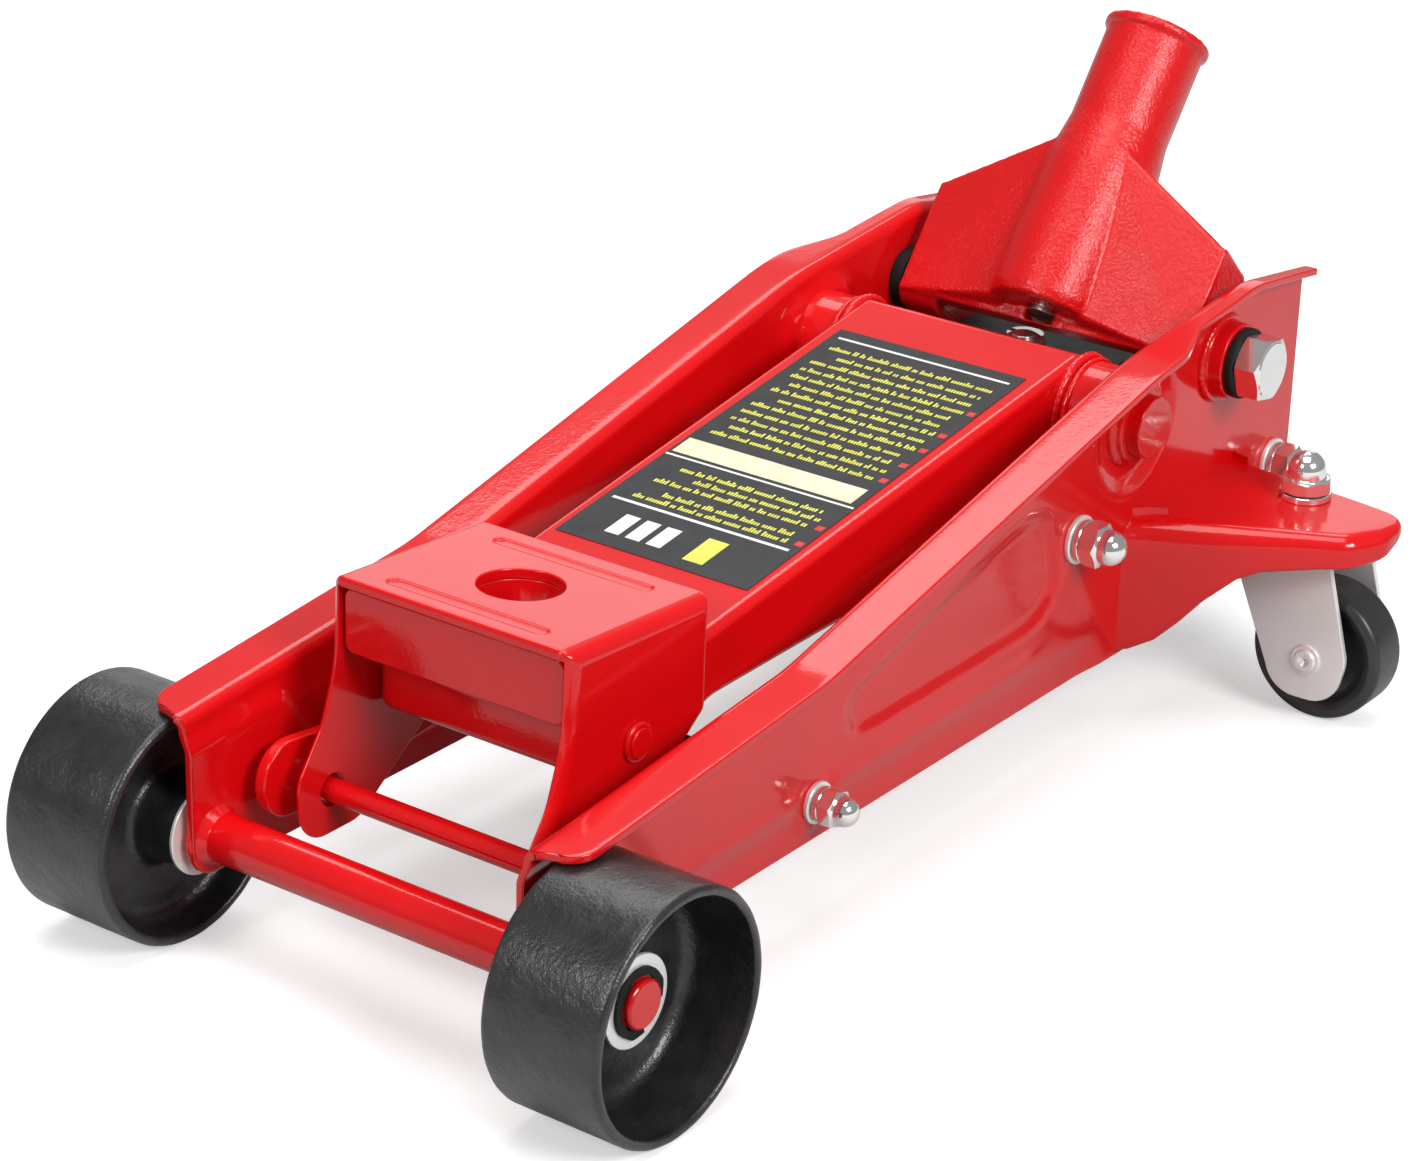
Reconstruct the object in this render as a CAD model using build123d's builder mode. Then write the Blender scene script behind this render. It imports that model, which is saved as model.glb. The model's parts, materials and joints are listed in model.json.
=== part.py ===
from build123d import *
import math
import os

# Hydraulic trolley jack, lowered. +X is the lifting (front) end, +Y the left side, +Z up, floor at Z = 0.
# Side-view points are written (behind, up): millimetres behind the front axle and above the floor.
# The two side halves mirror each other about the XZ plane.

os.makedirs("parts", exist_ok=True)

# Front wheels and axle
WHEEL_R = 45.0
WHEEL_INNER_Y, WHEEL_OUTER_Y = 83.4, 130.9
WHEEL_RIM_T = 4.4
AXLE_R = 9.0
RUNNING = 0.05          # radial clearance of every running fit

# Side plates
PLATE_Y = 74.5          # inner face
PLATE_T = 3.0
PLATE_OUT = PLATE_Y + PLATE_T
FLANGE_Y = 95.5         # outer edge of the top flange
PLATE_FRONT, PLATE_REAR, PLATE_BOTTOM = -12.0, 492.0, 31.0
PLATE_TOP = [(PLATE_FRONT, 93.0), (130.0, 107.5), (350.0, 158.5), (440.0, 167.0), (PLATE_REAR, 160.0)]

# Pivots of the lifting gear: arm and link are the two long sides of a parallelogram
AXLE = (0.0, WHEEL_R)
ARM_SHAFT = (362.0, 129.0)
ARM_PIN = (75.0, 92.0)
LINK_PIN = (35.5, 56.0)
LINK_PIVOT = (ARM_SHAFT[0] + LINK_PIN[0] - ARM_PIN[0], ARM_SHAFT[1] + LINK_PIN[1] - ARM_PIN[1])
SHAFT_R, SLEEVE_R, ARM_PIN_R, LINK_ROD_R = 12.5, 20.0, 5.5, 4.5
ARM_BUSH_R = 9.0        # bush of the arm pin in the nose of the arm

# Lift arm: an inverted channel
ARM_T = 4.0
ARM_TOP_REAR, ARM_TOP_SLOPE = (ARM_SHAFT[0], 151.0), 0.152
ARM_HALF_FRONT, ARM_HALF_REAR = 48.0, 52.0

# Saddle bracket (head)
HEAD_HALF, HEAD_T = 53.4, 4.0
HEAD_FRONT, HEAD_REAR = (39.5, 136.6), (118.8, 131.7)
SADDLE_HOLE_AT, SADDLE_HOLE_R = 78.4, 15.5

# Ram: its cross pin swings below the arm shaft
RAM_ARM, RAM_START = 45.0, 130.0
RAM_PIN = (ARM_SHAFT[0] - RAM_ARM * math.cos(math.radians(RAM_START)),
           ARM_SHAFT[1] - RAM_ARM * math.sin(math.radians(RAM_START)))
RAM_AXIS_Z = 90.0
PISTON_R, CYLINDER_R, GLAND_R = 15.0, 24.0, 26.0
RAM_PIN_R, ROLLER_R = 7.0, 11.0

# Pump block
BLOCK_FRONT, BLOCK_REAR, BLOCK_HALF = 432.0, 504.0, 66.0
BLOCK_BOTTOM, BLOCK_TOP = 44.0, 112.0
BLOCK_STUD = (477.2, 78.2)
PLUNGER_AT, PLUNGER_Y, PLUNGER_R = 458.0, 27.0, 6.0
SPINDLE_AT, SPINDLE_Y, SPINDLE_R = 448.0, -27.0, 5.0

# Handle socket: leans back from upright about its cross pivot
PIVOT = (427.0, 138.0)
SOCKET_TILT = 37.7
SOCKET_OFFSET = 9.9     # tube axis ahead of the pivot
SOCKET_TOP = 124.0      # mouth, measured along the tube from the pivot
SOCKET_R, SOCKET_RIM = 21.0, 22.6
SOCKET_BORE, SOCKET_DEPTH = 17.2, 72.0
COUPLER_WELL_R, COUPLER_WELL_DEPTH = 14.5, 20.0
YOKE_HALF = 68.5

# Rear casters
CASTER_AT, CASTER_Y, CASTER_TRAIL = 427.0, 120.0, 16.0
CASTER_R, CASTER_W = 28.3, 22.0
BRACKET_TOP, BRACKET_T = 89.0, 4.0

# Fasteners
M8, M8_FLATS = 4.0, 13.0
M10, M10_FLATS = 5.0, 16.0
TIE_ROD = (150.0, 47.4)

tilt = math.radians(SOCKET_TILT)
rim_behind = PIVOT[0] + SOCKET_TOP * math.sin(tilt) + (SOCKET_RIM - SOCKET_OFFSET) * math.cos(tilt)
AXLE_X = (rim_behind - WHEEL_R) / 2     # puts X = 0 at the middle of the overall length


def side_plane(y):
    """Upright fore-and-aft plane at y: first axis rearwards from the front axle, second up, normal +Y."""
    return Plane(origin=(AXLE_X, y, 0), x_dir=(-1, 0, 0), z_dir=(0, 1, 0))


def plan_plane(z):
    """Level plane at height z: first axis rearwards from the front axle, second +Y, normal down."""
    return Plane(origin=(AXLE_X, 0, z), x_dir=(-1, 0, 0), z_dir=(0, 0, -1))


def along_plane(behind):
    """Plane across the jack: first axis +Y, second up, normal +X."""
    return Plane(origin=(AXLE_X - behind, 0, 0), x_dir=(0, 1, 0), z_dir=(1, 0, 0))


def socket_plane(along, across):
    """Plane square to the socket tube at a point given along the tube and ahead of the pivot."""
    x = AXLE_X - PIVOT[0] - along * math.sin(tilt) + across * math.cos(tilt)
    z = PIVOT[1] + along * math.cos(tilt) + across * math.sin(tilt)
    return Plane(origin=(x, 0, z), x_dir=(0, 1, 0), z_dir=(-math.sin(tilt), 0, math.cos(tilt)))


def yoke_side(y):
    """Fore-and-aft plane through the pivot: first axis ahead, second along the tube, normal -Y."""
    pivot = (AXLE_X - PIVOT[0], y, PIVOT[1])
    return Plane(origin=pivot, x_dir=(math.cos(tilt), 0, math.sin(tilt)), z_dir=(0, -1, 0))


def yoke_front(across):
    """Plane facing ahead of the socket: first axis +Y, second along the tube."""
    origin = socket_plane(0, across).origin
    return Plane(origin=origin, x_dir=(0, 1, 0), z_dir=(math.cos(tilt), 0, math.sin(tilt)))


def save(part, label):
    """Names a finished piece and writes its STEP file."""
    part.label = label
    export_step(part, f"parts/{label}.step")


def rings(at, outer, inner, spans, both_sides=True):
    """Round bars or rings along Y at a side-view point, one for each (from, to) span of y."""
    with BuildPart() as group:
        for start, end in spans:
            with BuildSketch(side_plane(start)):
                with Locations(at):
                    Circle(outer)
                    if inner:
                        Circle(inner, mode=Mode.SUBTRACT)
            extrude(amount=end - start)
        if both_sides:
            mirror(about=Plane.XZ)
    return group.part


def flipped(part):
    """The same piece on the other side of the jack."""
    return mirror(part, about=Plane.XZ)


def acorn_nut(seat, flats, height, dome_r):
    """Hexagon nut with a domed cap, seated on a plane whose normal points outwards."""
    with BuildPart() as nut:
        with BuildSketch(seat):
            RegularPolygon(radius=flats / 2, side_count=6, major_radius=False)
        extrude(amount=height)
        with BuildSketch(seat.offset(height)):
            Circle(dome_r)
        extrude(amount=dome_r * 0.35)
        with Locations(seat.offset(height + dome_r * 0.35)):
            Sphere(dome_r, align=Align.CENTER)
    return nut.part


# ---------------------------------------------------------------- chassis: plates and cross members

def side_plate():
    """Left side plate: pressed sheet with an outward top flange."""
    drop = PLATE_T * 1.03
    belly = [(PLATE_REAR, 78.0), (470.0, 62.0), (396.0, 62.0), (374.0, PLATE_BOTTOM),
             (PLATE_FRONT, PLATE_BOTTOM)]
    radii = [0, 120, 160, 60, 3, 12, 8, 12, 12, 3]
    with BuildPart() as plate:
        with BuildSketch(side_plane(PLATE_Y)):
            with BuildLine():
                FilletPolyline(*PLATE_TOP, *belly, radius=radii, close=True)
            make_face()
        extrude(amount=FLANGE_Y - PLATE_Y)
        with BuildSketch(side_plane(PLATE_OUT)):
            with BuildLine():
                lowered = [(p[0], p[1] - drop) for p in PLATE_TOP]
                lowered[0] = (PLATE_FRONT - 5, lowered[0][1] - 0.5)
                lowered[-1] = (PLATE_REAR + 5, lowered[-1][1])
                FilletPolyline(*lowered, (PLATE_REAR + 5, 0), (PLATE_FRONT - 5, 0),
                               radius=[0, 120, 160, 60, 0, 0, 0], close=True)
            make_face()
        extrude(amount=FLANGE_Y - PLATE_OUT + 1, mode=Mode.SUBTRACT)
        with BuildSketch(plan_plane(200)):
            with BuildLine():
                FilletPolyline((PLATE_FRONT - 5, PLATE_OUT + 0.5), (PLATE_FRONT + 4, PLATE_OUT + 0.5),
                               (PLATE_FRONT + 9, FLANGE_Y), (366, FLANGE_Y), (396, 86.0),
                               (PLATE_REAR + 5, 84.0),
                               (PLATE_REAR + 5, 120), (PLATE_FRONT - 5, 120),
                               radius=[0, 5, 6, 25, 25, 0, 0, 0], close=True)
            make_face()
        extrude(amount=200, mode=Mode.SUBTRACT)
        top_bend = [e for e in plate.edges().filter_by_position(Axis.Y, PLATE_Y - 0.01, PLATE_Y + 0.01)
                    if e.center().Z > 92 and abs(e.tangent_at(0.5).Z) < 0.3]
        fillet(top_bend, 2.6)
        holes = [(AXLE, AXLE_R), (TIE_ROD, M8), (LINK_PIVOT, M10), (ARM_SHAFT, SHAFT_R),
                 (BLOCK_STUD, M10), (PIVOT, 8.0)]
        with BuildSketch(side_plane(PLATE_Y)):
            for at, radius in holes:
                with Locations(at):
                    Circle(radius)
        extrude(amount=PLATE_T, mode=Mode.SUBTRACT)
    return plate.part


def caster_bracket():
    """Left caster wing: flat top welded to the side plate, with a swept skirt along its front edge."""
    front_run = Vector(-40, 72.5, 0).normalized()
    outwards = front_run.cross(Vector(0, 0, 1))
    skirt = Plane(origin=(AXLE_X - 355, PLATE_OUT, 0), x_dir=front_run, z_dir=outwards)
    with BuildPart() as wing:
        with BuildSketch(plan_plane(BRACKET_TOP)):
            with BuildLine():
                FilletPolyline((355, PLATE_OUT), (397.5, 154.5), (412, 164.0), (433, 164.0),
                               (449.5, PLATE_OUT), radius=[0, 14, 12, 12, 0], close=True)
            make_face()
        extrude(amount=BRACKET_T)
        with BuildSketch(skirt):
            with BuildLine():
                edge = Bezier((0, 34), (24, 34), (30, 76), (80, 77))
                Polyline(edge @ 1, (80, BRACKET_TOP), (0, BRACKET_TOP), (0, 34))
            make_face()
        extrude(amount=-BRACKET_T)
        with BuildSketch(plan_plane(BRACKET_TOP)):
            with Locations((CASTER_AT, CASTER_Y)):
                Circle(6)
        extrude(amount=BRACKET_T, mode=Mode.SUBTRACT)
        with BuildSketch(side_plane(PLATE_Y)):
            with Locations((400, 60)):
                Rectangle(200, 100)
        extrude(amount=PLATE_T, mode=Mode.SUBTRACT)
    return wing.part


plate_left = side_plate()
save(plate_left, "side_plate_left")
save(flipped(plate_left), "side_plate_right")
bracket_left = caster_bracket()
save(bracket_left, "caster_bracket_left")
save(flipped(bracket_left), "caster_bracket_right")

AXLE_END = 116.5
AXLE_GROOVE = 112.6
axle_section = Plane(origin=(AXLE_X, 0, WHEEL_R), x_dir=(0, 1, 0), z_dir=(1, 0, 0))
with BuildPart() as front_axle:
    with BuildSketch(axle_section):
        with BuildLine():
            Polyline((0, 0), (0, AXLE_R), (PLATE_Y - 6, AXLE_R), (PLATE_Y, AXLE_R + 4), (PLATE_Y, AXLE_R),
                     (AXLE_GROOVE, AXLE_R), (AXLE_GROOVE, AXLE_R - 1.2), (AXLE_GROOVE + 1.4, AXLE_R - 1.2),
                     (AXLE_GROOVE + 1.4, AXLE_R), (AXLE_END - 1, AXLE_R), (AXLE_END, AXLE_R - 1),
                     (AXLE_END, 0),
                     close=True)
        make_face()
    revolve(axis=Axis(axle_section.origin, (0, 1, 0)))
    mirror(about=Plane.XZ)
save(front_axle.part, "front_axle")

with BuildPart() as axle_retaining_rings:
    with BuildSketch(side_plane(AXLE_GROOVE + 0.1)):
        with Locations(AXLE):
            Circle(12.5)
            Circle(AXLE_R - 1.2, mode=Mode.SUBTRACT)
        with Locations((AXLE[0] + 9, AXLE[1] - 9)):
            Rectangle(12, 9, rotation=-45, mode=Mode.SUBTRACT)
    extrude(amount=1.2)
    mirror(about=Plane.XZ)
save(axle_retaining_rings.part, "axle_retaining_rings")
save(rings(AXLE, 16.5, AXLE_R, [(PLATE_OUT, 79.1), (110.9, AXLE_GROOVE)]), "axle_washers")

save(rings(TIE_ROD, M8, 0, [(0, 91)]), "front_tie_rod")
save(rings(ARM_SHAFT, SHAFT_R, 0, [(0, 86)]), "arm_shaft")

STRAP_FACE_IN, STRAP_FACE_OUT = 60.0, 65.0
LINK_BOLT_HEAD = 6.0
with BuildPart() as link_pivot_bolts:
    with BuildSketch(side_plane(STRAP_FACE_IN - 0.3 - LINK_BOLT_HEAD)):
        with Locations(LINK_PIVOT):
            RegularPolygon(radius=M10_FLATS / 2, side_count=6, major_radius=False)
    extrude(amount=LINK_BOLT_HEAD)
    with BuildSketch(side_plane(STRAP_FACE_IN - 1)):
        with Locations(LINK_PIVOT):
            Circle(M10)
    extrude(amount=93 - STRAP_FACE_IN + 1)
    mirror(about=Plane.XZ)
save(link_pivot_bolts.part, "link_pivot_bolts")
save(rings(BLOCK_STUD, M10, 0, [(22, 93)]), "block_studs")

# Acorn nuts on both side plates and on the caster studs, with their washers
NUT_FACE = PLATE_OUT + 5.0
CASTER_NUT_FACE = BRACKET_TOP + 3.0
STUD_TOP = 103.0
# Point, thread radius, thread end, flats, hexagon height, dome radius and washer radius of each side nut
SIDE_NUTS = [(TIE_ROD, M8, 91, M8_FLATS, 6.0, 5.6, 8.0), (LINK_PIVOT, M10, 93, M10_FLATS, 7.5, 7.0, 9.8),
             (BLOCK_STUD, M10, 93, M10_FLATS, 7.5, 7.0, 9.8)]
with BuildPart() as acorn_nuts:
    for at, thread, thread_end, flats, height, dome, washer in SIDE_NUTS:
        seat = side_plane(NUT_FACE)
        add(acorn_nut(Plane(seat.from_local_coords((*at, 0)), x_dir=(-1, 0, 0), z_dir=(0, 1, 0)),
                      flats, height, dome))
        with BuildSketch(seat):
            with Locations(at):
                Circle(thread)
        extrude(amount=thread_end - NUT_FACE, mode=Mode.SUBTRACT)
    add(acorn_nut(Plane((AXLE_X - CASTER_AT, CASTER_Y, CASTER_NUT_FACE)), 19.0, 7.0, 8.0))
    with BuildSketch(plan_plane(STUD_TOP)):
        with Locations((CASTER_AT, CASTER_Y)):
            Circle(6)
    extrude(amount=STUD_TOP - CASTER_NUT_FACE, mode=Mode.SUBTRACT)
    mirror(about=Plane.XZ)
save(acorn_nuts.part, "acorn_nuts")

with BuildPart() as plain_washers:
    for at, thread, thread_end, flats, height, dome, washer in SIDE_NUTS:
        add(rings(at, washer, thread, [(PLATE_OUT, PLATE_OUT + 2)]))
save(plain_washers.part, "plain_washers")
with BuildPart() as spring_washers:
    for at, thread, thread_end, flats, height, dome, washer in SIDE_NUTS:
        add(rings(at, washer - 1.2, thread, [(PLATE_OUT + 2, NUT_FACE)]))
    with BuildSketch(plan_plane(CASTER_NUT_FACE)):
        with Locations((CASTER_AT, CASTER_Y), (CASTER_AT, -CASTER_Y)):
            Circle(10.5)
            Circle(6, mode=Mode.SUBTRACT)
        with Locations((CASTER_AT, CASTER_Y + 8), (CASTER_AT, -CASTER_Y - 8)):
            Rectangle(1.2, 8, rotation=20, mode=Mode.SUBTRACT)
    extrude(amount=CASTER_NUT_FACE - BRACKET_TOP)
save(spring_washers.part, "spring_washers")

# Spacer tubes between the frame and what it carries, and the bosses welded to the plates
with BuildPart() as frame_spacers:
    add(rings(TIE_ROD, 7.5, M8, [(0, PLATE_Y)]))
    add(rings(LINK_PIVOT, 9, M10, [(STRAP_FACE_OUT + 0.3, PLATE_Y)]))
    add(rings(BLOCK_STUD, 9, M10, [(BLOCK_HALF, PLATE_Y)]))
    add(rings(PIVOT, 13, 8.0, [(YOKE_HALF + 0.4, PLATE_Y)]))
save(frame_spacers.part, "frame_spacers")
with BuildPart() as frame_bosses:
    add(rings(ARM_SHAFT, 16, SHAFT_R, [(PLATE_OUT, 81.5)]))
    add(rings(PIVOT, 15.5, 8.0, [(PLATE_OUT, 86)]))
save(frame_bosses.part, "frame_bosses")

# Handle pivot: a shouldered bolt each side, its shank running in the yoke's ear
PIVOT_SHANK_R, PIVOT_FLATS = 8.0, 24.0
with BuildPart() as handle_pivot_bolts:
    with BuildSketch(side_plane(90)):
        with Locations(PIVOT):
            RegularPolygon(radius=PIVOT_FLATS / 2, side_count=6, major_radius=False)
    extrude(amount=11)
    with BuildSketch(side_plane(50)):
        with Locations(PIVOT):
            Circle(PIVOT_SHANK_R)
    extrude(amount=40)
    mirror(about=Plane.XZ)
save(handle_pivot_bolts.part, "handle_pivot_bolts")
save(rings(PIVOT, 14, PIVOT_SHANK_R, [(86, 90)]), "handle_pivot_washers")

# Strap across the frame that the arm's return springs hang from
HANGER_Z, HANGER_AT = 125.0, 402.0
SPRING_Y = 36.0
with BuildPart() as spring_hanger:
    with BuildSketch(plan_plane(HANGER_Z + 4)):
        with Locations((HANGER_AT, 0)):
            Rectangle(20, 2 * PLATE_Y)
            Circle(M10, mode=Mode.SUBTRACT)
        with Locations((HANGER_AT - 4, SPRING_Y), (HANGER_AT - 4, -SPRING_Y)):
            Circle(2.6, mode=Mode.SUBTRACT)
    extrude(amount=4)
save(spring_hanger.part, "spring_hanger")
with BuildPart() as hanger_bolt_and_nut:
    with BuildSketch(plan_plane(137)):
        with Locations((HANGER_AT, 0)):
            Circle(M10)
    extrude(amount=18)
    with BuildSketch(plan_plane(HANGER_Z)):
        with Locations((HANGER_AT, 0)):
            RegularPolygon(radius=M10_FLATS / 2, side_count=6, major_radius=False)
    extrude(amount=6)
    with BuildSketch(plan_plane(HANGER_Z + 10)):
        with Locations((HANGER_AT, 0)):
            RegularPolygon(radius=M10_FLATS / 2, side_count=6, major_radius=False)
            Circle(M10 + 0.1, mode=Mode.SUBTRACT)
    extrude(amount=6)
save(hanger_bolt_and_nut.part, "hanger_bolt_and_nut")

# ---------------------------------------------------------------- hydraulic unit

BORE_END = BLOCK_REAR - 8
RECESS_R, RECESS_FLOOR = 12.0, 96.0
PLUNGER_FOOT, PLUNGER_BORE_FOOT = 68.0, 50.0
with BuildPart() as pump_block:
    with BuildSketch(side_plane(-BLOCK_HALF)):
        with BuildLine():
            FilletPolyline((BLOCK_FRONT, BLOCK_BOTTOM), (BLOCK_REAR, BLOCK_BOTTOM), (BLOCK_REAR, BLOCK_TOP),
                           (BLOCK_FRONT, BLOCK_TOP), radius=[4, 8, 8, 4], close=True)
        make_face()
    extrude(amount=2 * BLOCK_HALF)
    with BuildSketch(along_plane(BLOCK_FRONT)):
        with Locations((0, RAM_AXIS_Z)):
            Circle(PISTON_R + RUNNING)
    extrude(amount=BLOCK_FRONT - BORE_END, mode=Mode.SUBTRACT)
    with BuildSketch(plan_plane(BLOCK_TOP)):
        with Locations((PLUNGER_AT, PLUNGER_Y)):
            Circle(RECESS_R)
    extrude(amount=BLOCK_TOP - RECESS_FLOOR, mode=Mode.SUBTRACT)
    with BuildSketch(plan_plane(RECESS_FLOOR)):
        with Locations((PLUNGER_AT, PLUNGER_Y)):
            Circle(PLUNGER_R + RUNNING)
    extrude(amount=RECESS_FLOOR - PLUNGER_BORE_FOOT, mode=Mode.SUBTRACT)
    with BuildSketch(plan_plane(BLOCK_TOP)):
        with Locations((SPINDLE_AT, SPINDLE_Y)):
            Circle(SPINDLE_R + RUNNING)
    extrude(amount=30, mode=Mode.SUBTRACT)
    with BuildSketch(side_plane(-BLOCK_HALF)):
        with Locations(BLOCK_STUD):
            Circle(M10)
    extrude(amount=BLOCK_HALF - 22, mode=Mode.SUBTRACT)
    with BuildSketch(side_plane(22)):
        with Locations(BLOCK_STUD):
            Circle(M10)
    extrude(amount=BLOCK_HALF - 22, mode=Mode.SUBTRACT)
save(pump_block.part, "pump_block")

GLAND_BACK, GLAND_FRONT = 423.0, 413.0
with BuildPart() as cylinder_tube:
    with BuildSketch(along_plane(BLOCK_FRONT)):
        with Locations((0, RAM_AXIS_Z)):
            Circle(CYLINDER_R)
            Circle(PISTON_R + RUNNING, mode=Mode.SUBTRACT)
    extrude(amount=BLOCK_FRONT - GLAND_BACK)
save(cylinder_tube.part, "cylinder_tube")
with BuildPart() as gland_nut:
    with BuildSketch(along_plane(GLAND_BACK)):
        with Locations((0, RAM_AXIS_Z)):
            RegularPolygon(radius=GLAND_R, side_count=8)
            Circle(PISTON_R + RUNNING, mode=Mode.SUBTRACT)
    extrude(amount=GLAND_BACK - GLAND_FRONT)
save(gland_nut.part, "gland_nut")
with BuildPart() as filler_plug:
    with BuildSketch(along_plane(BLOCK_REAR)):
        with Locations((0, 70)):
            RegularPolygon(radius=7, side_count=6, major_radius=False)
    extrude(amount=-5)
save(filler_plug.part, "filler_plug")

# Ram piston with its push head; the head meets the arm's roller across a small gap
RAM_FACE = RAM_PIN[0] + ROLLER_R + 1.5
with BuildPart() as ram_piston:
    with BuildSketch(along_plane(BORE_END - 1)):
        with Locations((0, RAM_AXIS_Z)):
            Circle(PISTON_R)
    extrude(amount=BORE_END - 1 - RAM_FACE - 7)
save(ram_piston.part, "ram_piston")
with BuildPart() as ram_head:
    with BuildSketch(along_plane(RAM_FACE + 7)):
        with Locations((0, RAM_AXIS_Z)):
            Circle(16)
    extrude(amount=7)
    chamfer(ram_head.edges().filter_by(GeomType.CIRCLE), 1)
save(ram_head.part, "ram_head")

# Pump plunger, pushed down by the yoke's roller and lifted by its spring
YOKE_ROLLER_R, YOKE_ROLLER_BEHIND = 7.0, 31.0
CAP_TOP = PIVOT[1] - YOKE_ROLLER_R - 0.6
CAP_R, CAP_T = 10.0, 4.0
with BuildPart() as pump_plunger:
    with BuildSketch(plan_plane(CAP_TOP)):
        with Locations((PLUNGER_AT, PLUNGER_Y)):
            Circle(CAP_R)
    extrude(amount=CAP_T)
    with BuildSketch(plan_plane(CAP_TOP - CAP_T)):
        with Locations((PLUNGER_AT, PLUNGER_Y)):
            Circle(PLUNGER_R)
    extrude(amount=CAP_TOP - CAP_T - PLUNGER_FOOT)
save(pump_plunger.part, "pump_plunger")
with BuildPart() as plunger_spring:
    with BuildSketch(plan_plane(CAP_TOP - CAP_T)):
        with Locations((PLUNGER_AT, PLUNGER_Y)):
            Circle(9.4)
            Circle(6.8, mode=Mode.SUBTRACT)
    extrude(amount=CAP_TOP - CAP_T - RECESS_FLOOR)
save(plunger_spring.part, "plunger_spring")

# Release valve spindle with a slotted head
with BuildPart() as release_spindle:
    with BuildSketch(plan_plane(118)):
        with Locations((SPINDLE_AT, SPINDLE_Y)):
            Circle(8)
            Rectangle(3, 20, mode=Mode.SUBTRACT)
    extrude(amount=5)
    with BuildSketch(plan_plane(113)):
        with Locations((SPINDLE_AT, SPINDLE_Y)):
            Circle(SPINDLE_R)
    extrude(amount=30)
save(release_spindle.part, "release_spindle")

# ---------------------------------------------------------------- lift arm

def arm_top(behind):
    """Height of the arm's top face at a distance behind the front axle."""
    return ARM_TOP_REAR[1] - ARM_TOP_SLOPE * (ARM_TOP_REAR[0] - behind)


ARM_NOSE, ARM_TAIL = 58.0, 405.0


def arm_half(behind):
    """Half width of the arm, which widens evenly towards the rear."""
    share = (behind - ARM_NOSE) / (ARM_SHAFT[0] - ARM_NOSE)
    return ARM_HALF_FRONT + share * (ARM_HALF_REAR - ARM_HALF_FRONT)


def arm_plan(inset):
    """Plan outline of the arm's walls, moved inwards by the inset."""
    ends = [(behind, arm_half(behind) - inset) for behind in (0, 450)]
    return ends + [(behind, -half) for behind, half in reversed(ends)]


NOSE_INSIDE, ROOF_FRONT, OPEN_TAIL = ARM_NOSE + ARM_T, ARM_NOSE + 14, ARM_TAIL + 10
with BuildPart() as arm_cavity:
    with BuildSketch(side_plane(-60)):
        Polygon((NOSE_INSIDE, arm_top(NOSE_INSIDE) - ARM_T - 2), (ROOF_FRONT, arm_top(ROOF_FRONT) - ARM_T),
                (OPEN_TAIL, arm_top(OPEN_TAIL) - ARM_T), (OPEN_TAIL, 40), (NOSE_INSIDE, 40), align=None)
    extrude(amount=120)
    with BuildSketch(plan_plane(200)):
        Polygon(*arm_plan(ARM_T), align=None)
    extrude(amount=200, mode=Mode.INTERSECT)

with BuildPart() as lift_arm:
    with BuildSketch(side_plane(-60)):
        with BuildLine():
            FilletPolyline((ARM_NOSE, 80), (ARM_NOSE, 100), (68, arm_top(68)), ARM_TOP_REAR, (381, 141),
                           (404, 100), (397, 83), (378, 84), (340, 92), (192, 90), (126, 88), (90, 76),
                           radius=[6, 6, 12, 8, 8, 10, 9, 9, 20, 30, 30, 12], close=True)
        make_face()
    extrude(amount=120)
    with BuildSketch(plan_plane(200)):
        Polygon(*arm_plan(0), align=None)
    extrude(amount=200, mode=Mode.INTERSECT)
    ridges = [e for e in lift_arm.edges() if e.center().Z > 120 and e.length > 200]
    fillet([e for e in ridges if abs(e.center().Y) > 10], 4)
    add(arm_cavity.part, mode=Mode.SUBTRACT)
    with BuildSketch(side_plane(-60)):
        with Locations(ARM_SHAFT):
            Circle(SLEEVE_R)
        with Locations(ARM_PIN):
            Circle(ARM_BUSH_R)
        with Locations(RAM_PIN):
            Circle(RAM_PIN_R)
    extrude(amount=120, mode=Mode.SUBTRACT)
save(lift_arm.part, "lift_arm")

with BuildPart() as arm_sleeve:
    add(rings(ARM_SHAFT, SLEEVE_R, SHAFT_R + RUNNING, [(45, PLATE_Y - 1.5)]))
    add(rings(ARM_SHAFT, 15.5, SHAFT_R + RUNNING, [(0, 45)]))
save(arm_sleeve.part, "arm_sleeve")
save(rings(ARM_PIN, ARM_BUSH_R, ARM_PIN_R + RUNNING, [(0, ARM_HALF_FRONT)]), "arm_front_bush")
save(rings(RAM_PIN, RAM_PIN_R, 0, [(0, arm_half(RAM_PIN[0]))]), "ram_pin")
save(rings(RAM_PIN, ROLLER_R, RAM_PIN_R, [(0, 14)]), "ram_roller")

LABEL_FROM, LABEL_TO, LABEL_HALF = 152.0, 334.0, 43.5
label_lean = math.atan(ARM_TOP_SLOPE)
label_seat = Plane(origin=(AXLE_X - LABEL_FROM, 0, arm_top(LABEL_FROM)),
                   x_dir=(-math.cos(label_lean), 0, math.sin(label_lean)),
                   z_dir=(math.sin(label_lean), 0, math.cos(label_lean)))
with BuildPart() as rating_label:
    with BuildSketch(label_seat):
        with Locations(((LABEL_TO - LABEL_FROM) / math.cos(label_lean) / 2, 0)):
            Rectangle((LABEL_TO - LABEL_FROM) / math.cos(label_lean), 2 * LABEL_HALF)
    extrude(amount=0.4)
save(rating_label.part, "rating_label")

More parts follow.
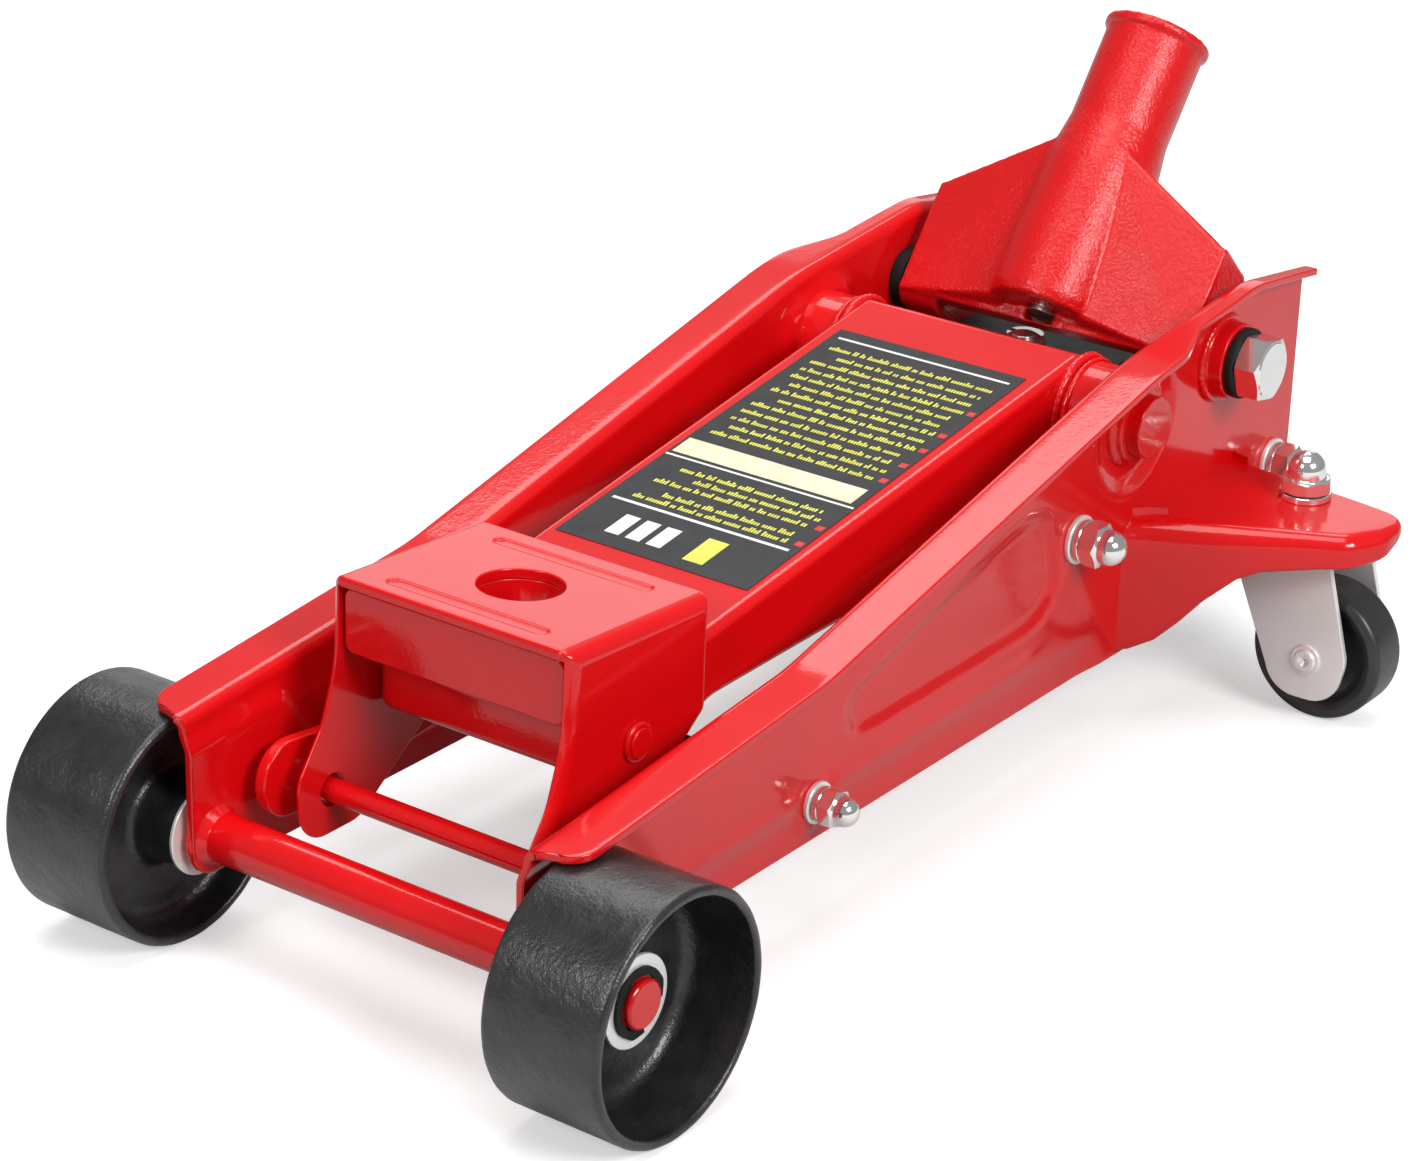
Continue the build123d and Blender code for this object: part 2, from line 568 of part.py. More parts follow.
# Pair of return springs between the hanger and the ram pin
with BuildPart() as arm_return_springs:
    foot = Vector(AXLE_X - RAM_PIN[0], SPRING_Y, RAM_PIN[1] + 8.8)
    head = Vector(AXLE_X - HANGER_AT + 4, SPRING_Y, HANGER_Z - 1.8)
    with BuildSketch(Plane(origin=foot, z_dir=head - foot)):
        Circle(4.2)
        Circle(2.8, mode=Mode.SUBTRACT)
    extrude(amount=(head - foot).length)
    mirror(about=Plane.XZ)
save(arm_return_springs.part, "arm_return_springs")

# ---------------------------------------------------------------- saddle bracket

head_lean = math.atan2(HEAD_FRONT[1] - HEAD_REAR[1], HEAD_REAR[0] - HEAD_FRONT[0])
HEAD_SIDE = [HEAD_FRONT, (38.0, 104.0), (30.0, 82.0), (17.0, 64.0), (18.0, 39.0), (50.0, 39.0),
             (118.0, 88.0), HEAD_REAR]


def head_top_plane(behind, depth=0.0):
    """Plane on the bracket's top face, sunk by depth: first axis rearwards, second -Y, normal upwards."""
    drop = (behind - HEAD_FRONT[0]) * math.tan(head_lean)
    normal = Vector(-math.sin(head_lean), 0, math.cos(head_lean))
    point = Vector(AXLE_X - behind, 0, HEAD_FRONT[1] - drop)
    rearwards = (-math.cos(head_lean), 0, -math.sin(head_lean))
    return Plane(origin=point - normal * depth, x_dir=rearwards, z_dir=normal)


with BuildPart() as saddle_bracket:
    with BuildSketch(side_plane(-HEAD_HALF)):
        with BuildLine():
            FilletPolyline(*HEAD_SIDE, radius=[1.5, 60, 30, 14, 14, 16, 6, 1.5], close=True)
        make_face()
    extrude(amount=2 * HEAD_HALF)
    shoulders = [e for e in saddle_bracket.edges() if e.center().Z > 131 and e.length > 60
                 and abs(abs(e.center().Y) - HEAD_HALF) < 0.01]
    fillet(shoulders, 6)
    with BuildSketch(side_plane(HEAD_T - HEAD_HALF)):
        with BuildLine():
            Polyline((0, HEAD_FRONT[1] - HEAD_T + 39.5 * math.tan(head_lean)),
                     (150, HEAD_FRONT[1] - HEAD_T - 110.5 * math.tan(head_lean)), (150, 0), (0, 0),
                     close=True)
        make_face()
    extrude(amount=2 * (HEAD_HALF - HEAD_T), mode=Mode.SUBTRACT)
    with BuildSketch(head_top_plane(SADDLE_HOLE_AT)):
        Circle(SADDLE_HOLE_R)
    extrude(amount=-10, mode=Mode.SUBTRACT)
    for slot_at in (49.5, 107.0):
        with BuildSketch(head_top_plane(slot_at)):
            SlotOverall(70, 6, rotation=90)
        extrude(amount=-0.8, mode=Mode.SUBTRACT)
    with BuildSketch(side_plane(-60)):
        with Locations(ARM_PIN):
            Circle(ARM_PIN_R)
        with Locations(LINK_PIN):
            Circle(LINK_ROD_R + 1.6)
    extrude(amount=120, mode=Mode.SUBTRACT)
save(saddle_bracket.part, "saddle_bracket")

with BuildPart() as head_front_panel:
    with BuildSketch(along_plane(45.5)):
        with Locations((0, 119.8)):
            RectangleRounded(2 * 48.4, 24.6, 4)
    extrude(amount=4)
save(head_front_panel.part, "head_front_panel")
with BuildPart() as saddle_collar:
    with BuildSketch(head_top_plane(SADDLE_HOLE_AT, HEAD_T)):
        Circle(20.5)
        Circle(SADDLE_HOLE_R, mode=Mode.SUBTRACT)
    extrude(amount=-12)
save(saddle_collar.part, "saddle_collar")
save(rings(ARM_PIN, ARM_PIN_R, 0, [(0, 56.5)]), "arm_pin")
save(rings(ARM_PIN, 7.3, ARM_PIN_R, [(HEAD_HALF, 55.2)]), "arm_pin_rings")

# ---------------------------------------------------------------- link arms

def link_strap():
    """Left link: a flat bar from the bracket's lower pin back to its frame pivot."""
    with BuildPart() as strap:
        with BuildSketch(side_plane(STRAP_FACE_IN)):
            with BuildLine():
                FilletPolyline((12, 46.5), (12, 77), (50, 72.5), (LINK_PIVOT[0] + 13, LINK_PIVOT[1] + 13),
                               (LINK_PIVOT[0] + 13, LINK_PIVOT[1] - 11), (50, 46.5),
                               radius=[14, 14, 60, 11, 11, 60], close=True)
            make_face()
            with Locations(LINK_PIVOT):
                Circle(M10 + RUNNING, mode=Mode.SUBTRACT)
            with Locations(LINK_PIN):
                Circle(LINK_ROD_R, mode=Mode.SUBTRACT)
        extrude(amount=STRAP_FACE_OUT - STRAP_FACE_IN)
    return strap.part


strap_left = link_strap()
save(strap_left, "link_strap_left")
save(flipped(strap_left), "link_strap_right")
save(rings(LINK_PIN, LINK_ROD_R, 0, [(0, 67.5)]), "link_cross_rod")
save(rings(LINK_PIN, 8.5, LINK_ROD_R, [(STRAP_FACE_OUT, 66.6)]), "link_rod_rings")

# ---------------------------------------------------------------- handle socket

EAR_IN = 50.0
with BuildPart() as handle_socket:
    with BuildSketch(yoke_front(3)):
        Polygon((-YOKE_HALF, -9), (YOKE_HALF, -9), (YOKE_HALF, 39), (63, 42.5), (24, 61), (-24, 61),
                (-63, 42.5), (-YOKE_HALF, 39), align=None)
    extrude(amount=10)
    for ear_y in (YOKE_HALF, -EAR_IN):
        with BuildSketch(yoke_side(ear_y)):
            with BuildLine():
                FilletPolyline((13, -13), (13, 41), (-14, 38), (-17, 8), (-15, -14), radius=[9, 2, 5, 20, 11],
                               close=True)
            make_face()
        extrude(amount=YOKE_HALF - EAR_IN)
    with BuildSketch(socket_plane(-3, SOCKET_OFFSET)):
        Circle(SOCKET_R)
    extrude(amount=SOCKET_TOP + 3)
    with BuildSketch(socket_plane(-3, SOCKET_OFFSET)):
        Circle(23.5)
    extrude(amount=62)
    with BuildSketch(socket_plane(SOCKET_TOP - 4, SOCKET_OFFSET)):
        Circle(SOCKET_RIM)
    extrude(amount=4)
    with BuildSketch(yoke_front(-20)):
        with Locations((0, 24)):
            Rectangle(2 * YOKE_HALF, 90)
    extrude(amount=-40, mode=Mode.SUBTRACT)
    for lug_y in (PLUNGER_Y + 17, PLUNGER_Y - 11.5):
        with BuildSketch(side_plane(lug_y)):
            with BuildLine():
                FilletPolyline((PIVOT[0] + YOKE_ROLLER_BEHIND + 8, PIVOT[1] - 9),
                               (PIVOT[0] + YOKE_ROLLER_BEHIND + 8, PIVOT[1] + 9), (448, 156), (428, 158),
                               (424, 148),
                               (448, PIVOT[1] - 9), radius=[8, 8, 2, 2, 2, 8], close=True)
            make_face()
        extrude(amount=-5.5)
    with BuildSketch(side_plane(-YOKE_HALF)):
        with Locations(PIVOT):
            Circle(PIVOT_SHANK_R + RUNNING)
    extrude(amount=2 * YOKE_HALF, mode=Mode.SUBTRACT)
    with BuildSketch(side_plane(0)):
        with Locations((PIVOT[0] + YOKE_ROLLER_BEHIND, PIVOT[1])):
            Circle(3.5)
    extrude(amount=60, mode=Mode.SUBTRACT)
    with BuildSketch(socket_plane(SOCKET_TOP, SOCKET_OFFSET)):
        Circle(SOCKET_BORE)
    extrude(amount=-SOCKET_DEPTH, mode=Mode.SUBTRACT)
    with BuildSketch(socket_plane(SOCKET_TOP - SOCKET_DEPTH, SOCKET_OFFSET)):
        Circle(COUPLER_WELL_R)
    extrude(amount=-COUPLER_WELL_DEPTH, mode=Mode.SUBTRACT)
    with BuildSketch(socket_plane(SOCKET_TOP - SOCKET_DEPTH - COUPLER_WELL_DEPTH, SOCKET_OFFSET)):
        Circle(7 + RUNNING)
    extrude(amount=-40, mode=Mode.SUBTRACT)
save(handle_socket.part, "handle_socket")

# Coupler at the foot of the bore: passes a twist of the handle on to the release valve
COUPLER_FOOT = SOCKET_TOP - SOCKET_DEPTH - COUPLER_WELL_DEPTH + 0.4
with BuildPart() as handle_coupler:
    with BuildSketch(socket_plane(COUPLER_FOOT, SOCKET_OFFSET)):
        Circle(13)
    extrude(amount=10)
    with BuildSketch(socket_plane(COUPLER_FOOT + 10, SOCKET_OFFSET)):
        Rectangle(20, 6)
    extrude(amount=8)
    with BuildSketch(socket_plane(COUPLER_FOOT, SOCKET_OFFSET)):
        Circle(7)
    extrude(amount=-37)
save(handle_coupler.part, "handle_coupler")

roller_at = (PIVOT[0] + YOKE_ROLLER_BEHIND, PIVOT[1])
yoke_roller = rings(roller_at, YOKE_ROLLER_R, 3.5, [(PLUNGER_Y - 11, PLUNGER_Y + 11)], both_sides=False)
save(yoke_roller, "pump_roller")
save(rings(roller_at, 3.5, 0, [(PLUNGER_Y - 17, PLUNGER_Y + 17)], both_sides=False), "pump_roller_pin")

# ---------------------------------------------------------------- front wheels and casters

def front_wheel():
    """Left cast wheel: deep-dished rim, thin web and long hub."""
    inner_r = WHEEL_R - WHEEL_RIM_T
    with BuildPart() as wheel:
        with BuildSketch(axle_section):
            with BuildLine():
                FilletPolyline((79.4, AXLE_R + RUNNING), (110.6, AXLE_R + RUNNING), (110.6, 14.5),
                               (102.5, 16.5),
                               (103.0, inner_r), (WHEEL_OUTER_Y, inner_r + 0.6), (WHEEL_OUTER_Y, WHEEL_R),
                               (WHEEL_INNER_Y, WHEEL_R), (WHEEL_INNER_Y, inner_r + 0.6), (97.0, inner_r),
                               (97.5, 16.5), (79.4, 14.5),
                               radius=[0, 0, 1, 4, 4, 1.2, 1.8, 1.8, 1.2, 4, 4, 1], close=True)
            make_face()
        revolve(axis=Axis(axle_section.origin, (0, 1, 0)))
    return wheel.part


wheel_left = front_wheel()
save(wheel_left, "front_wheel_left")
save(flipped(wheel_left), "front_wheel_right")

CASTER_WHEEL_Y = CASTER_Y + CASTER_TRAIL
FORK_IN, FORK_OUT, FORK_TOP = 15.5, 18.0, 81.4
caster_centre = Vector(AXLE_X - CASTER_AT, CASTER_WHEEL_Y, CASTER_R)


def caster_fork():
    """Left fork: bent plate with a flat top under the bracket and two tapered legs."""
    with BuildPart() as fork:
        with BuildSketch(along_plane(CASTER_AT + FORK_OUT)):
            with BuildLine():
                FilletPolyline((100, FORK_TOP), (140, FORK_TOP), (153.5, 31), (149, 11), (122, 11), (118, 22),
                               (100, 64), radius=[3, 3, 15, 14, 14, 15, 4], close=True)
            make_face()
        extrude(amount=2 * FORK_OUT)
        with BuildSketch(along_plane(CASTER_AT + FORK_IN)):
            with Locations((130, (FORK_TOP - 3) / 2)):
                Rectangle(120, FORK_TOP - 3)
        extrude(amount=2 * FORK_IN, mode=Mode.SUBTRACT)
        with BuildSketch(plan_plane(FORK_TOP)):
            with Locations((CASTER_AT, CASTER_Y)):
                Circle(6 + RUNNING)
        extrude(amount=3, mode=Mode.SUBTRACT)
        with BuildSketch(along_plane(CASTER_AT + FORK_OUT)):
            with Locations((CASTER_WHEEL_Y, CASTER_R)):
                Circle(4)
        extrude(amount=2 * FORK_OUT, mode=Mode.SUBTRACT)
    return fork.part


def caster_wheel():
    """Left caster wheel: rounded tread, recessed faces and a hub that fills the fork."""
    half = CASTER_W / 2
    section = Plane(origin=caster_centre, x_dir=(1, 0, 0), z_dir=(0, -1, 0))
    with BuildPart() as wheel:
        with BuildSketch(section):
            with BuildLine():
                FilletPolyline((-15.2, 4 + RUNNING), (15.2, 4 + RUNNING), (15.2, 8), (7, 9), (7, 20),
                               (half, 22), (half, CASTER_R), (-half, CASTER_R), (-half, 22), (-7, 20),
                               (-7, 9), (-15.2, 8),
                               radius=[0, 0, 1, 1.5, 1.5, 0.8, 5, 5, 0.8, 1.5, 1.5, 1], close=True)
            make_face()
        revolve(axis=Axis(caster_centre, (1, 0, 0)))
    return wheel.part


def caster_axle():
    """Left caster rivet: plain pin with a low head at each end."""
    section = Plane(origin=caster_centre, x_dir=(1, 0, 0), z_dir=(0, -1, 0))
    with BuildPart() as axle:
        with BuildSketch(section):
            with BuildLine():
                Polyline((-20, 0), (-20, 4.5), (-FORK_OUT, 5.5), (-FORK_OUT, 4), (FORK_OUT, 4),
                         (FORK_OUT, 5.5),
                         (20, 4.5), (20, 0), close=True)
            make_face()
        revolve(axis=Axis(caster_centre, (1, 0, 0)))
    return axle.part


CASTER_PIECES = (("caster_fork", caster_fork), ("caster_wheel", caster_wheel), ("caster_axle", caster_axle))
for label, maker in CASTER_PIECES:
    left = maker()
    save(left, f"{label}_left")
    save(flipped(left), f"{label}_right")

BALL_R, BALL_Z, BALL_CIRCLE = 1.5, FORK_TOP + 1.55, 12.0
caster_axis = (CASTER_AT, CASTER_Y)
with BuildPart() as caster_studs:
    with BuildSketch(plan_plane(STUD_TOP)):
        with Locations(caster_axis):
            Circle(6)
    extrude(amount=STUD_TOP - 76)
    with BuildSketch(plan_plane(FORK_TOP - 3.4)):
        with Locations(caster_axis):
            Circle(10)
    extrude(amount=4)
    mirror(about=Plane.XZ)
save(caster_studs.part, "caster_studs")
with BuildPart() as caster_races:
    with BuildSketch(plan_plane(BRACKET_TOP - BRACKET_T)):
        with Locations(caster_axis):
            Circle(17)
            Circle(6, mode=Mode.SUBTRACT)
    extrude(amount=BRACKET_TOP - BRACKET_T - BALL_Z)
    with Locations((AXLE_X - CASTER_AT, CASTER_Y, BALL_Z)):
        Torus(BALL_CIRCLE, BALL_R + RUNNING, mode=Mode.SUBTRACT)
    mirror(about=Plane.XZ)
save(caster_races.part, "caster_races")
with BuildPart() as caster_balls:
    with Locations((AXLE_X - CASTER_AT, CASTER_Y, BALL_Z)):
        with PolarLocations(BALL_CIRCLE, 12):
            Sphere(BALL_R)
    mirror(about=Plane.XZ)
save(caster_balls.part, "caster_balls")
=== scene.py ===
"""Looks of the hydraulic trolley jack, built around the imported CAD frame.

Places are written (behind, y, up) in millimetres: behind the front axle, to the left, above the floor.
Blender's own units are metres, so spot() and M convert.
"""
import json
import math
import random

import bmesh
import bpy
import numpy as np
from mathutils import Matrix, Vector

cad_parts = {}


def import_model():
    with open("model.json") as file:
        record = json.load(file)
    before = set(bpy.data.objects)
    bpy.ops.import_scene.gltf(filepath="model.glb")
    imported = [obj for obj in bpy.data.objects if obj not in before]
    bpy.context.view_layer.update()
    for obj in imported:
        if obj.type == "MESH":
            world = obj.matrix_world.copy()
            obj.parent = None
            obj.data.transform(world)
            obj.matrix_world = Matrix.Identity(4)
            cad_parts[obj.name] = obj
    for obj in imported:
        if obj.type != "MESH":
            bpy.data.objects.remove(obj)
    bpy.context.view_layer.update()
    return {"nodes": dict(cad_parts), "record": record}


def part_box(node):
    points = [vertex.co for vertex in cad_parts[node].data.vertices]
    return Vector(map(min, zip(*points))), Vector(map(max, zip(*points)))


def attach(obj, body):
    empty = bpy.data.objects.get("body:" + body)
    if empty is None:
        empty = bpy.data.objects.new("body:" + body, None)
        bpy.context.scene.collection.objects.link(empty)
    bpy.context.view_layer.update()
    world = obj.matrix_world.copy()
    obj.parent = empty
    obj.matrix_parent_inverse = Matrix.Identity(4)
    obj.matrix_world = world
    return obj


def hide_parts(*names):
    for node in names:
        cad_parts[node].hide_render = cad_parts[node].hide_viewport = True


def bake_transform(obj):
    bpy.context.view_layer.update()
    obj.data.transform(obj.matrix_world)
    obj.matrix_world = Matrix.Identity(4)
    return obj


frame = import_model()

M = 0.001
axle_low, axle_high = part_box("front_axle")
AXLE_X = (axle_low.x + axle_high.x) / 2 / M
SIDES = {"left": 1, "right": -1}

# Driving dimensions; the main ones are the CAD model's
WHEEL_R, WHEEL_INNER, WHEEL_OUTER, WHEEL_RIM_T = 45.0, 83.4, 130.9, 4.4
FRONT_AXLE = (0.0, WHEEL_R)
PLATE_IN, PLATE_T, FLANGE_OUT, FLANGE_CORNER = 74.5, 3.0, 95.5, 10.0
PLATE_OUT = PLATE_IN + PLATE_T
PLATE_FRONT, PLATE_REAR, PLATE_BOTTOM = -12.0, 492.0, 31.0
PLATE_TOP = [(PLATE_FRONT, 93.0), (130.0, 107.5), (350.0, 158.5), (440.0, 167.0), (PLATE_REAR, 160.0)]
PLATE_BELLY = [(PLATE_FRONT, PLATE_BOTTOM), (374.0, PLATE_BOTTOM), (396.0, 62.0), (470.0, 62.0),
               (PLATE_REAR, 78.0)]
ARM_SHAFT, ARM_PIN, LINK_PIVOT = (362.0, 129.0), (75.0, 92.0), (322.5, 93.0)
TIE_ROD, BLOCK_STUD, PIVOT = (150.0, 47.4), (477.2, 78.2), (427.0, 138.0)
NUT_FACE = 82.5
# Point, thread radius, flats, hexagon height, dome radius and washer radius of each side nut
SIDE_NUTS = [(TIE_ROD, 4.0, 13.0, 5.6, 5.6, 8.0), (LINK_PIVOT, 5.0, 16.0, 7.0, 7.0, 9.8),
             (BLOCK_STUD, 5.0, 16.0, 7.0, 7.0, 9.8)]
CASTER = (427.0, 120.0)
CASTER_TRAIL, CASTER_WHEEL_R = 16.0, 28.3
BRACKET_TOP, BRACKET_T = 89.0, 4.0
SOCKET_TILT = math.radians(37.7)
SOCKET_OFFSET, SOCKET_CORE = 9.9, 18.5
# Top of the arm over its shaft, and its fall per millimetre towards the front
ARM_TOP, ARM_SLOPE = 151.0, 0.152
UP = Vector((0, 0, 1))
LIT_POINT = Vector((0, 0, 0.1))
# Nodes whose small cuts would be crossed by a bevel that isn't clamped
FINE_CUT = ("lift_arm",)


def spot(behind, y, up):
    """A point of the model in metres."""
    return Vector(((AXLE_X - behind) * M, y * M, up * M))


def ease(share):
    """Smooth step of numbers or arrays from 0 to 1."""
    t = np.clip(share, 0.0, 1.0)
    return t * t * (3 - 2 * t)


def rounded(points, radii, steps=8):
    """Open polyline whose inner corners are arcs of the given radii."""
    line = [Vector(points[0])]
    for before, corner, after, radius in zip(points, points[1:], points[2:], radii):
        corner = Vector(corner)
        back, ahead = (Vector(before) - corner).normalized(), (Vector(after) - corner).normalized()
        half = back.angle(ahead) / 2
        if radius <= 0 or half > math.radians(89.9):
            line.append(corner)
            continue
        centre = corner + (back + ahead).normalized() * (radius / math.sin(half))
        start = corner + back * (radius / math.tan(half)) - centre
        end = corner + ahead * (radius / math.tan(half)) - centre
        for k in range(steps + 1):
            line.append(centre + start.slerp(end, k / steps) * radius)
    return line + [Vector(points[-1])]


# -------------------- materials

def new_material(name, colour, rough, metallic=0.0, coat=0.0, coat_rough=0.1):
    """A Principled material with its constant values set, and its shader node."""
    material = bpy.data.materials.new(name)
    material.use_nodes = True
    shader = material.node_tree.nodes["Principled BSDF"]
    shader.inputs["Base Color"].default_value = (*colour, 1)
    shader.inputs["Roughness"].default_value = rough
    shader.inputs["Metallic"].default_value = metallic
    shader.inputs["Coat Weight"].default_value = coat
    shader.inputs["Coat Roughness"].default_value = coat_rough
    return material, shader


def noise(material, scale, detail, stretch=(1, 1, 1)):
    """Noise over the piece's own coordinates, as a socket from 0 to 1."""
    nodes, links = material.node_tree.nodes, material.node_tree.links
    place = nodes.new("ShaderNodeTexCoord")
    mapping = nodes.new("ShaderNodeMapping")
    mapping.inputs["Scale"].default_value = stretch
    texture = nodes.new("ShaderNodeTexNoise")
    texture.inputs["Scale"].default_value = scale
    texture.inputs["Detail"].default_value = detail
    links.new(place.outputs["Object"], mapping.inputs["Vector"])
    links.new(mapping.outputs["Vector"], texture.inputs["Vector"])
    return texture.outputs["Fac"]


def ramp(material, fac, stops):
    """Colour ramp of (position, colour) stops along a socket."""
    node = material.node_tree.nodes.new("ShaderNodeValToRGB")
    material.node_tree.links.new(fac, node.inputs["Fac"])
    elements = node.color_ramp.elements
    for element, (position, colour) in zip(list(elements), (stops[0], stops[-1])):
        element.position, element.color = position, (*colour, 1)
    for position, colour in stops[1:-1]:
        elements.new(position).color = (*colour, 1)
    return node.outputs["Color"]


def spread(material, fac, low, high):
    """A 0 to 1 socket taken to the span from low to high."""
    node = material.node_tree.nodes.new("ShaderNodeMapRange")
    node.inputs["To Min"].default_value = low
    node.inputs["To Max"].default_value = high
    material.node_tree.links.new(fac, node.inputs["Value"])
    return node.outputs["Result"]


def bumps(material, shader, layers):
    """Stacked bump: (height socket, depth in metres) from the coarsest to the finest."""
    links, last = material.node_tree.links, None
    for height, depth in layers:
        node = material.node_tree.nodes.new("ShaderNodeBump")
        node.inputs["Distance"].default_value = depth
        node.inputs["Strength"].default_value = 1.0
        links.new(height, node.inputs["Height"])
        if last:
            links.new(last, node.inputs["Normal"])
        last = node.outputs["Normal"]
    links.new(last, shader.inputs["Normal"])
    return last


def enamel(name, red, peel_depth, grain_depth, rough, coat_rough):
    """Sprayed red enamel: orange peel, slow colour drift and a clear top skin."""
    material, shader = new_material(name, red, rough, coat=0.85, coat_rough=coat_rough)
    shader.inputs["Specular IOR Level"].default_value = 0.12
    links = material.node_tree.links
    darker = tuple(c * 0.9 for c in red)
    tone = ramp(material, noise(material, 14, 3), [(0.3, darker), (0.7, red)])
    links.new(tone, shader.inputs["Base Color"])
    wear = spread(material, noise(material, 45, 4), rough - 0.06, rough + 0.08)
    links.new(wear, shader.inputs["Roughness"])
    skin = bumps(material, shader, [(noise(material, 60, 2), peel_depth * 2.2),
                                    (noise(material, 620, 2), peel_depth),
                                    (noise(material, 1500, 3), grain_depth)])
    links.new(skin, shader.inputs["Coat Normal"])
    return material


def black_cast():
    """Satin black paint over a sand casting."""
    material, shader = new_material("wheel_black", (0.012, 0.012, 0.013), 0.36, coat=0.5, coat_rough=0.22)
    links = material.node_tree.links
    tones = [(0.35, (0.008, 0.008, 0.009)), (0.7, (0.022, 0.022, 0.023))]
    tone = ramp(material, noise(material, 90, 5), tones)
    links.new(tone, shader.inputs["Base Color"])
    links.new(spread(material, noise(material, 160, 4), 0.26, 0.52), shader.inputs["Roughness"])
    skin = bumps(material, shader, [(noise(material, 110, 3), 0.00035), (noise(material, 520, 3), 0.0002),
                                    (noise(material, 1300, 2), 0.0001)])
    links.new(skin, shader.inputs["Coat Normal"])
    return material


def metal(name, tone, rough, grain, stretch=(1, 1, 1), depth=0.00002, metallic=1.0):
    """Bare or plated metal with a soft grain in its roughness and relief."""
    material, shader = new_material(name, (tone, tone, tone * 0.99), rough, metallic=metallic)
    links = material.node_tree.links
    fine = noise(material, grain, 4, stretch)
    dull = tone * 0.93
    tones = [(0.25, (dull, dull, dull * 0.98)), (0.8, (tone, tone, tone * 0.99))]
    links.new(ramp(material, noise(material, 40, 3), tones), shader.inputs["Base Color"])
    links.new(spread(material, fine, rough * 0.85, rough * 1.2), shader.inputs["Roughness"])
    bumps(material, shader, [(fine, depth)])
    return material


def moulded(name, tone, rough, depth=0.00006, shine=0.5):
    """Dark matt surface with a faint tooth."""
    material, shader = new_material(name, (tone, tone, tone), rough)
    shader.inputs["Specular IOR Level"].default_value = shine
    links = material.node_tree.links
    tones = [(0.3, (tone * 0.75,) * 3), (0.7, (tone * 1.15,) * 3)]
    links.new(ramp(material, noise(material, 60, 4), tones), shader.inputs["Base Color"])
    wear = spread(material, noise(material, 200, 3), rough - 0.08, rough + 0.1)
    links.new(wear, shader.inputs["Roughness"])
    bumps(material, shader, [(noise(material, 900, 3), depth)])
    return material


def film(name, colour, rough, wrinkle):
    """Glossy printed film with faint wrinkles and scuffs."""
    material, shader = new_material(name, colour, rough, coat=0.2)
    shader.inputs["Specular IOR Level"].default_value = 0.25
    links = material.node_tree.links
    worn = tuple(min(1.0, c * 1.25 + 0.004) for c in colour)
    tone = ramp(material, noise(material, 120, 6), [(0.35, colour), (0.75, worn)])
    links.new(tone, shader.inputs["Base Color"])
    wear = spread(material, noise(material, 260, 5), rough * 0.7, rough * 1.5)
    links.new(wear, shader.inputs["Roughness"])
    bumps(material, shader, [(noise(material, 70, 5), wrinkle)])
    return material


RED = (0.74, 0.0035, 0.0055)
looks = {
    "red_paint": enamel("red_enamel", RED, 0.000035, 0.000006, 0.30, 0.07),
    "cast_red": enamel("cast_enamel", RED, 0.00030, 0.00016, 0.38, 0.2),
    "black_cast": black_cast(),
    "black_steel": moulded("black_oxide", 0.016, 0.6, 0.00004, 0.15),
    "zinc": metal("zinc_plate", 0.96, 0.30, 420, depth=0.00001, metallic=0.45),
    "chrome": metal("nickel_plate", 0.97, 0.12, 300, depth=0.000004, metallic=0.9),
    "steel": metal("turned_steel", 0.52, 0.30, 300, (1, 6, 1)),
    "ground_steel": metal("ground_steel", 0.78, 0.12, 260, (8, 1, 8), 0.000008),
    "block_paint": moulded("block_paint", 0.018, 0.6, 0.0002, 0.2),
    "spring_steel": metal("spring_wire", 0.42, 0.28, 300),
    "caster_tread": moulded("caster_plastic", 0.035, 0.34),
    "label": film("label_black", (0.020, 0.021, 0.023), 0.3, 0.0003),
}
inks = {
    "yellow": film("ink_yellow", (0.72, 0.70, 0.10), 0.35, 0.0001),
    "white": film("ink_white", (0.82, 0.82, 0.80), 0.35, 0.0001),
    "cream": film("sticker_cream", (0.80, 0.72, 0.50), 0.42, 0.0002),
    "mark_red": film("ink_red", (0.62, 0.03, 0.03), 0.35, 0.0001),
}
own_looks = {"frame_spacers": looks["black_steel"]}
record = frame["record"]
node_slot = {row["node"]: row["material_slot"] for row in record["subparts"]}
node_body = {node: body for body, nodes in record["behaviour"]["bodies"].items() for node in nodes}


# -------------------- mesh helpers

def build(name, points, faces, sharp=32):
    """Mesh object from points in metres, smooth except across edges sharper than the angle."""
    mesh = bpy.data.meshes.new(name)
    mesh.from_pydata([tuple(p) for p in points], [], faces)
    work = bmesh.new()
    work.from_mesh(mesh)
    bmesh.ops.remove_doubles(work, verts=work.verts, dist=1e-7)
    bmesh.ops.recalc_face_normals(work, faces=work.faces)
    work.to_mesh(mesh)
    work.free()
    piece = bpy.data.objects.new(name, mesh)
    bpy.context.scene.collection.objects.link(piece)
    shade(piece, sharp)
    return piece


def shade(piece, sharp):
    """Smooth shading that breaks at edges sharper than the angle."""
    piece.data.polygons.foreach_set("use_smooth", [True] * len(piece.data.polygons))
    piece.data.set_sharp_from_angle(angle=math.radians(sharp))
    piece.data.update()


def bake_modifiers(piece):
    """Replaces the mesh by the one its modifiers make."""
    bpy.context.view_layer.update()
    shown = piece.evaluated_get(bpy.context.evaluated_depsgraph_get())
    mesh = bpy.data.meshes.new_from_object(shown)
    piece.modifiers.clear()
    piece.data = mesh


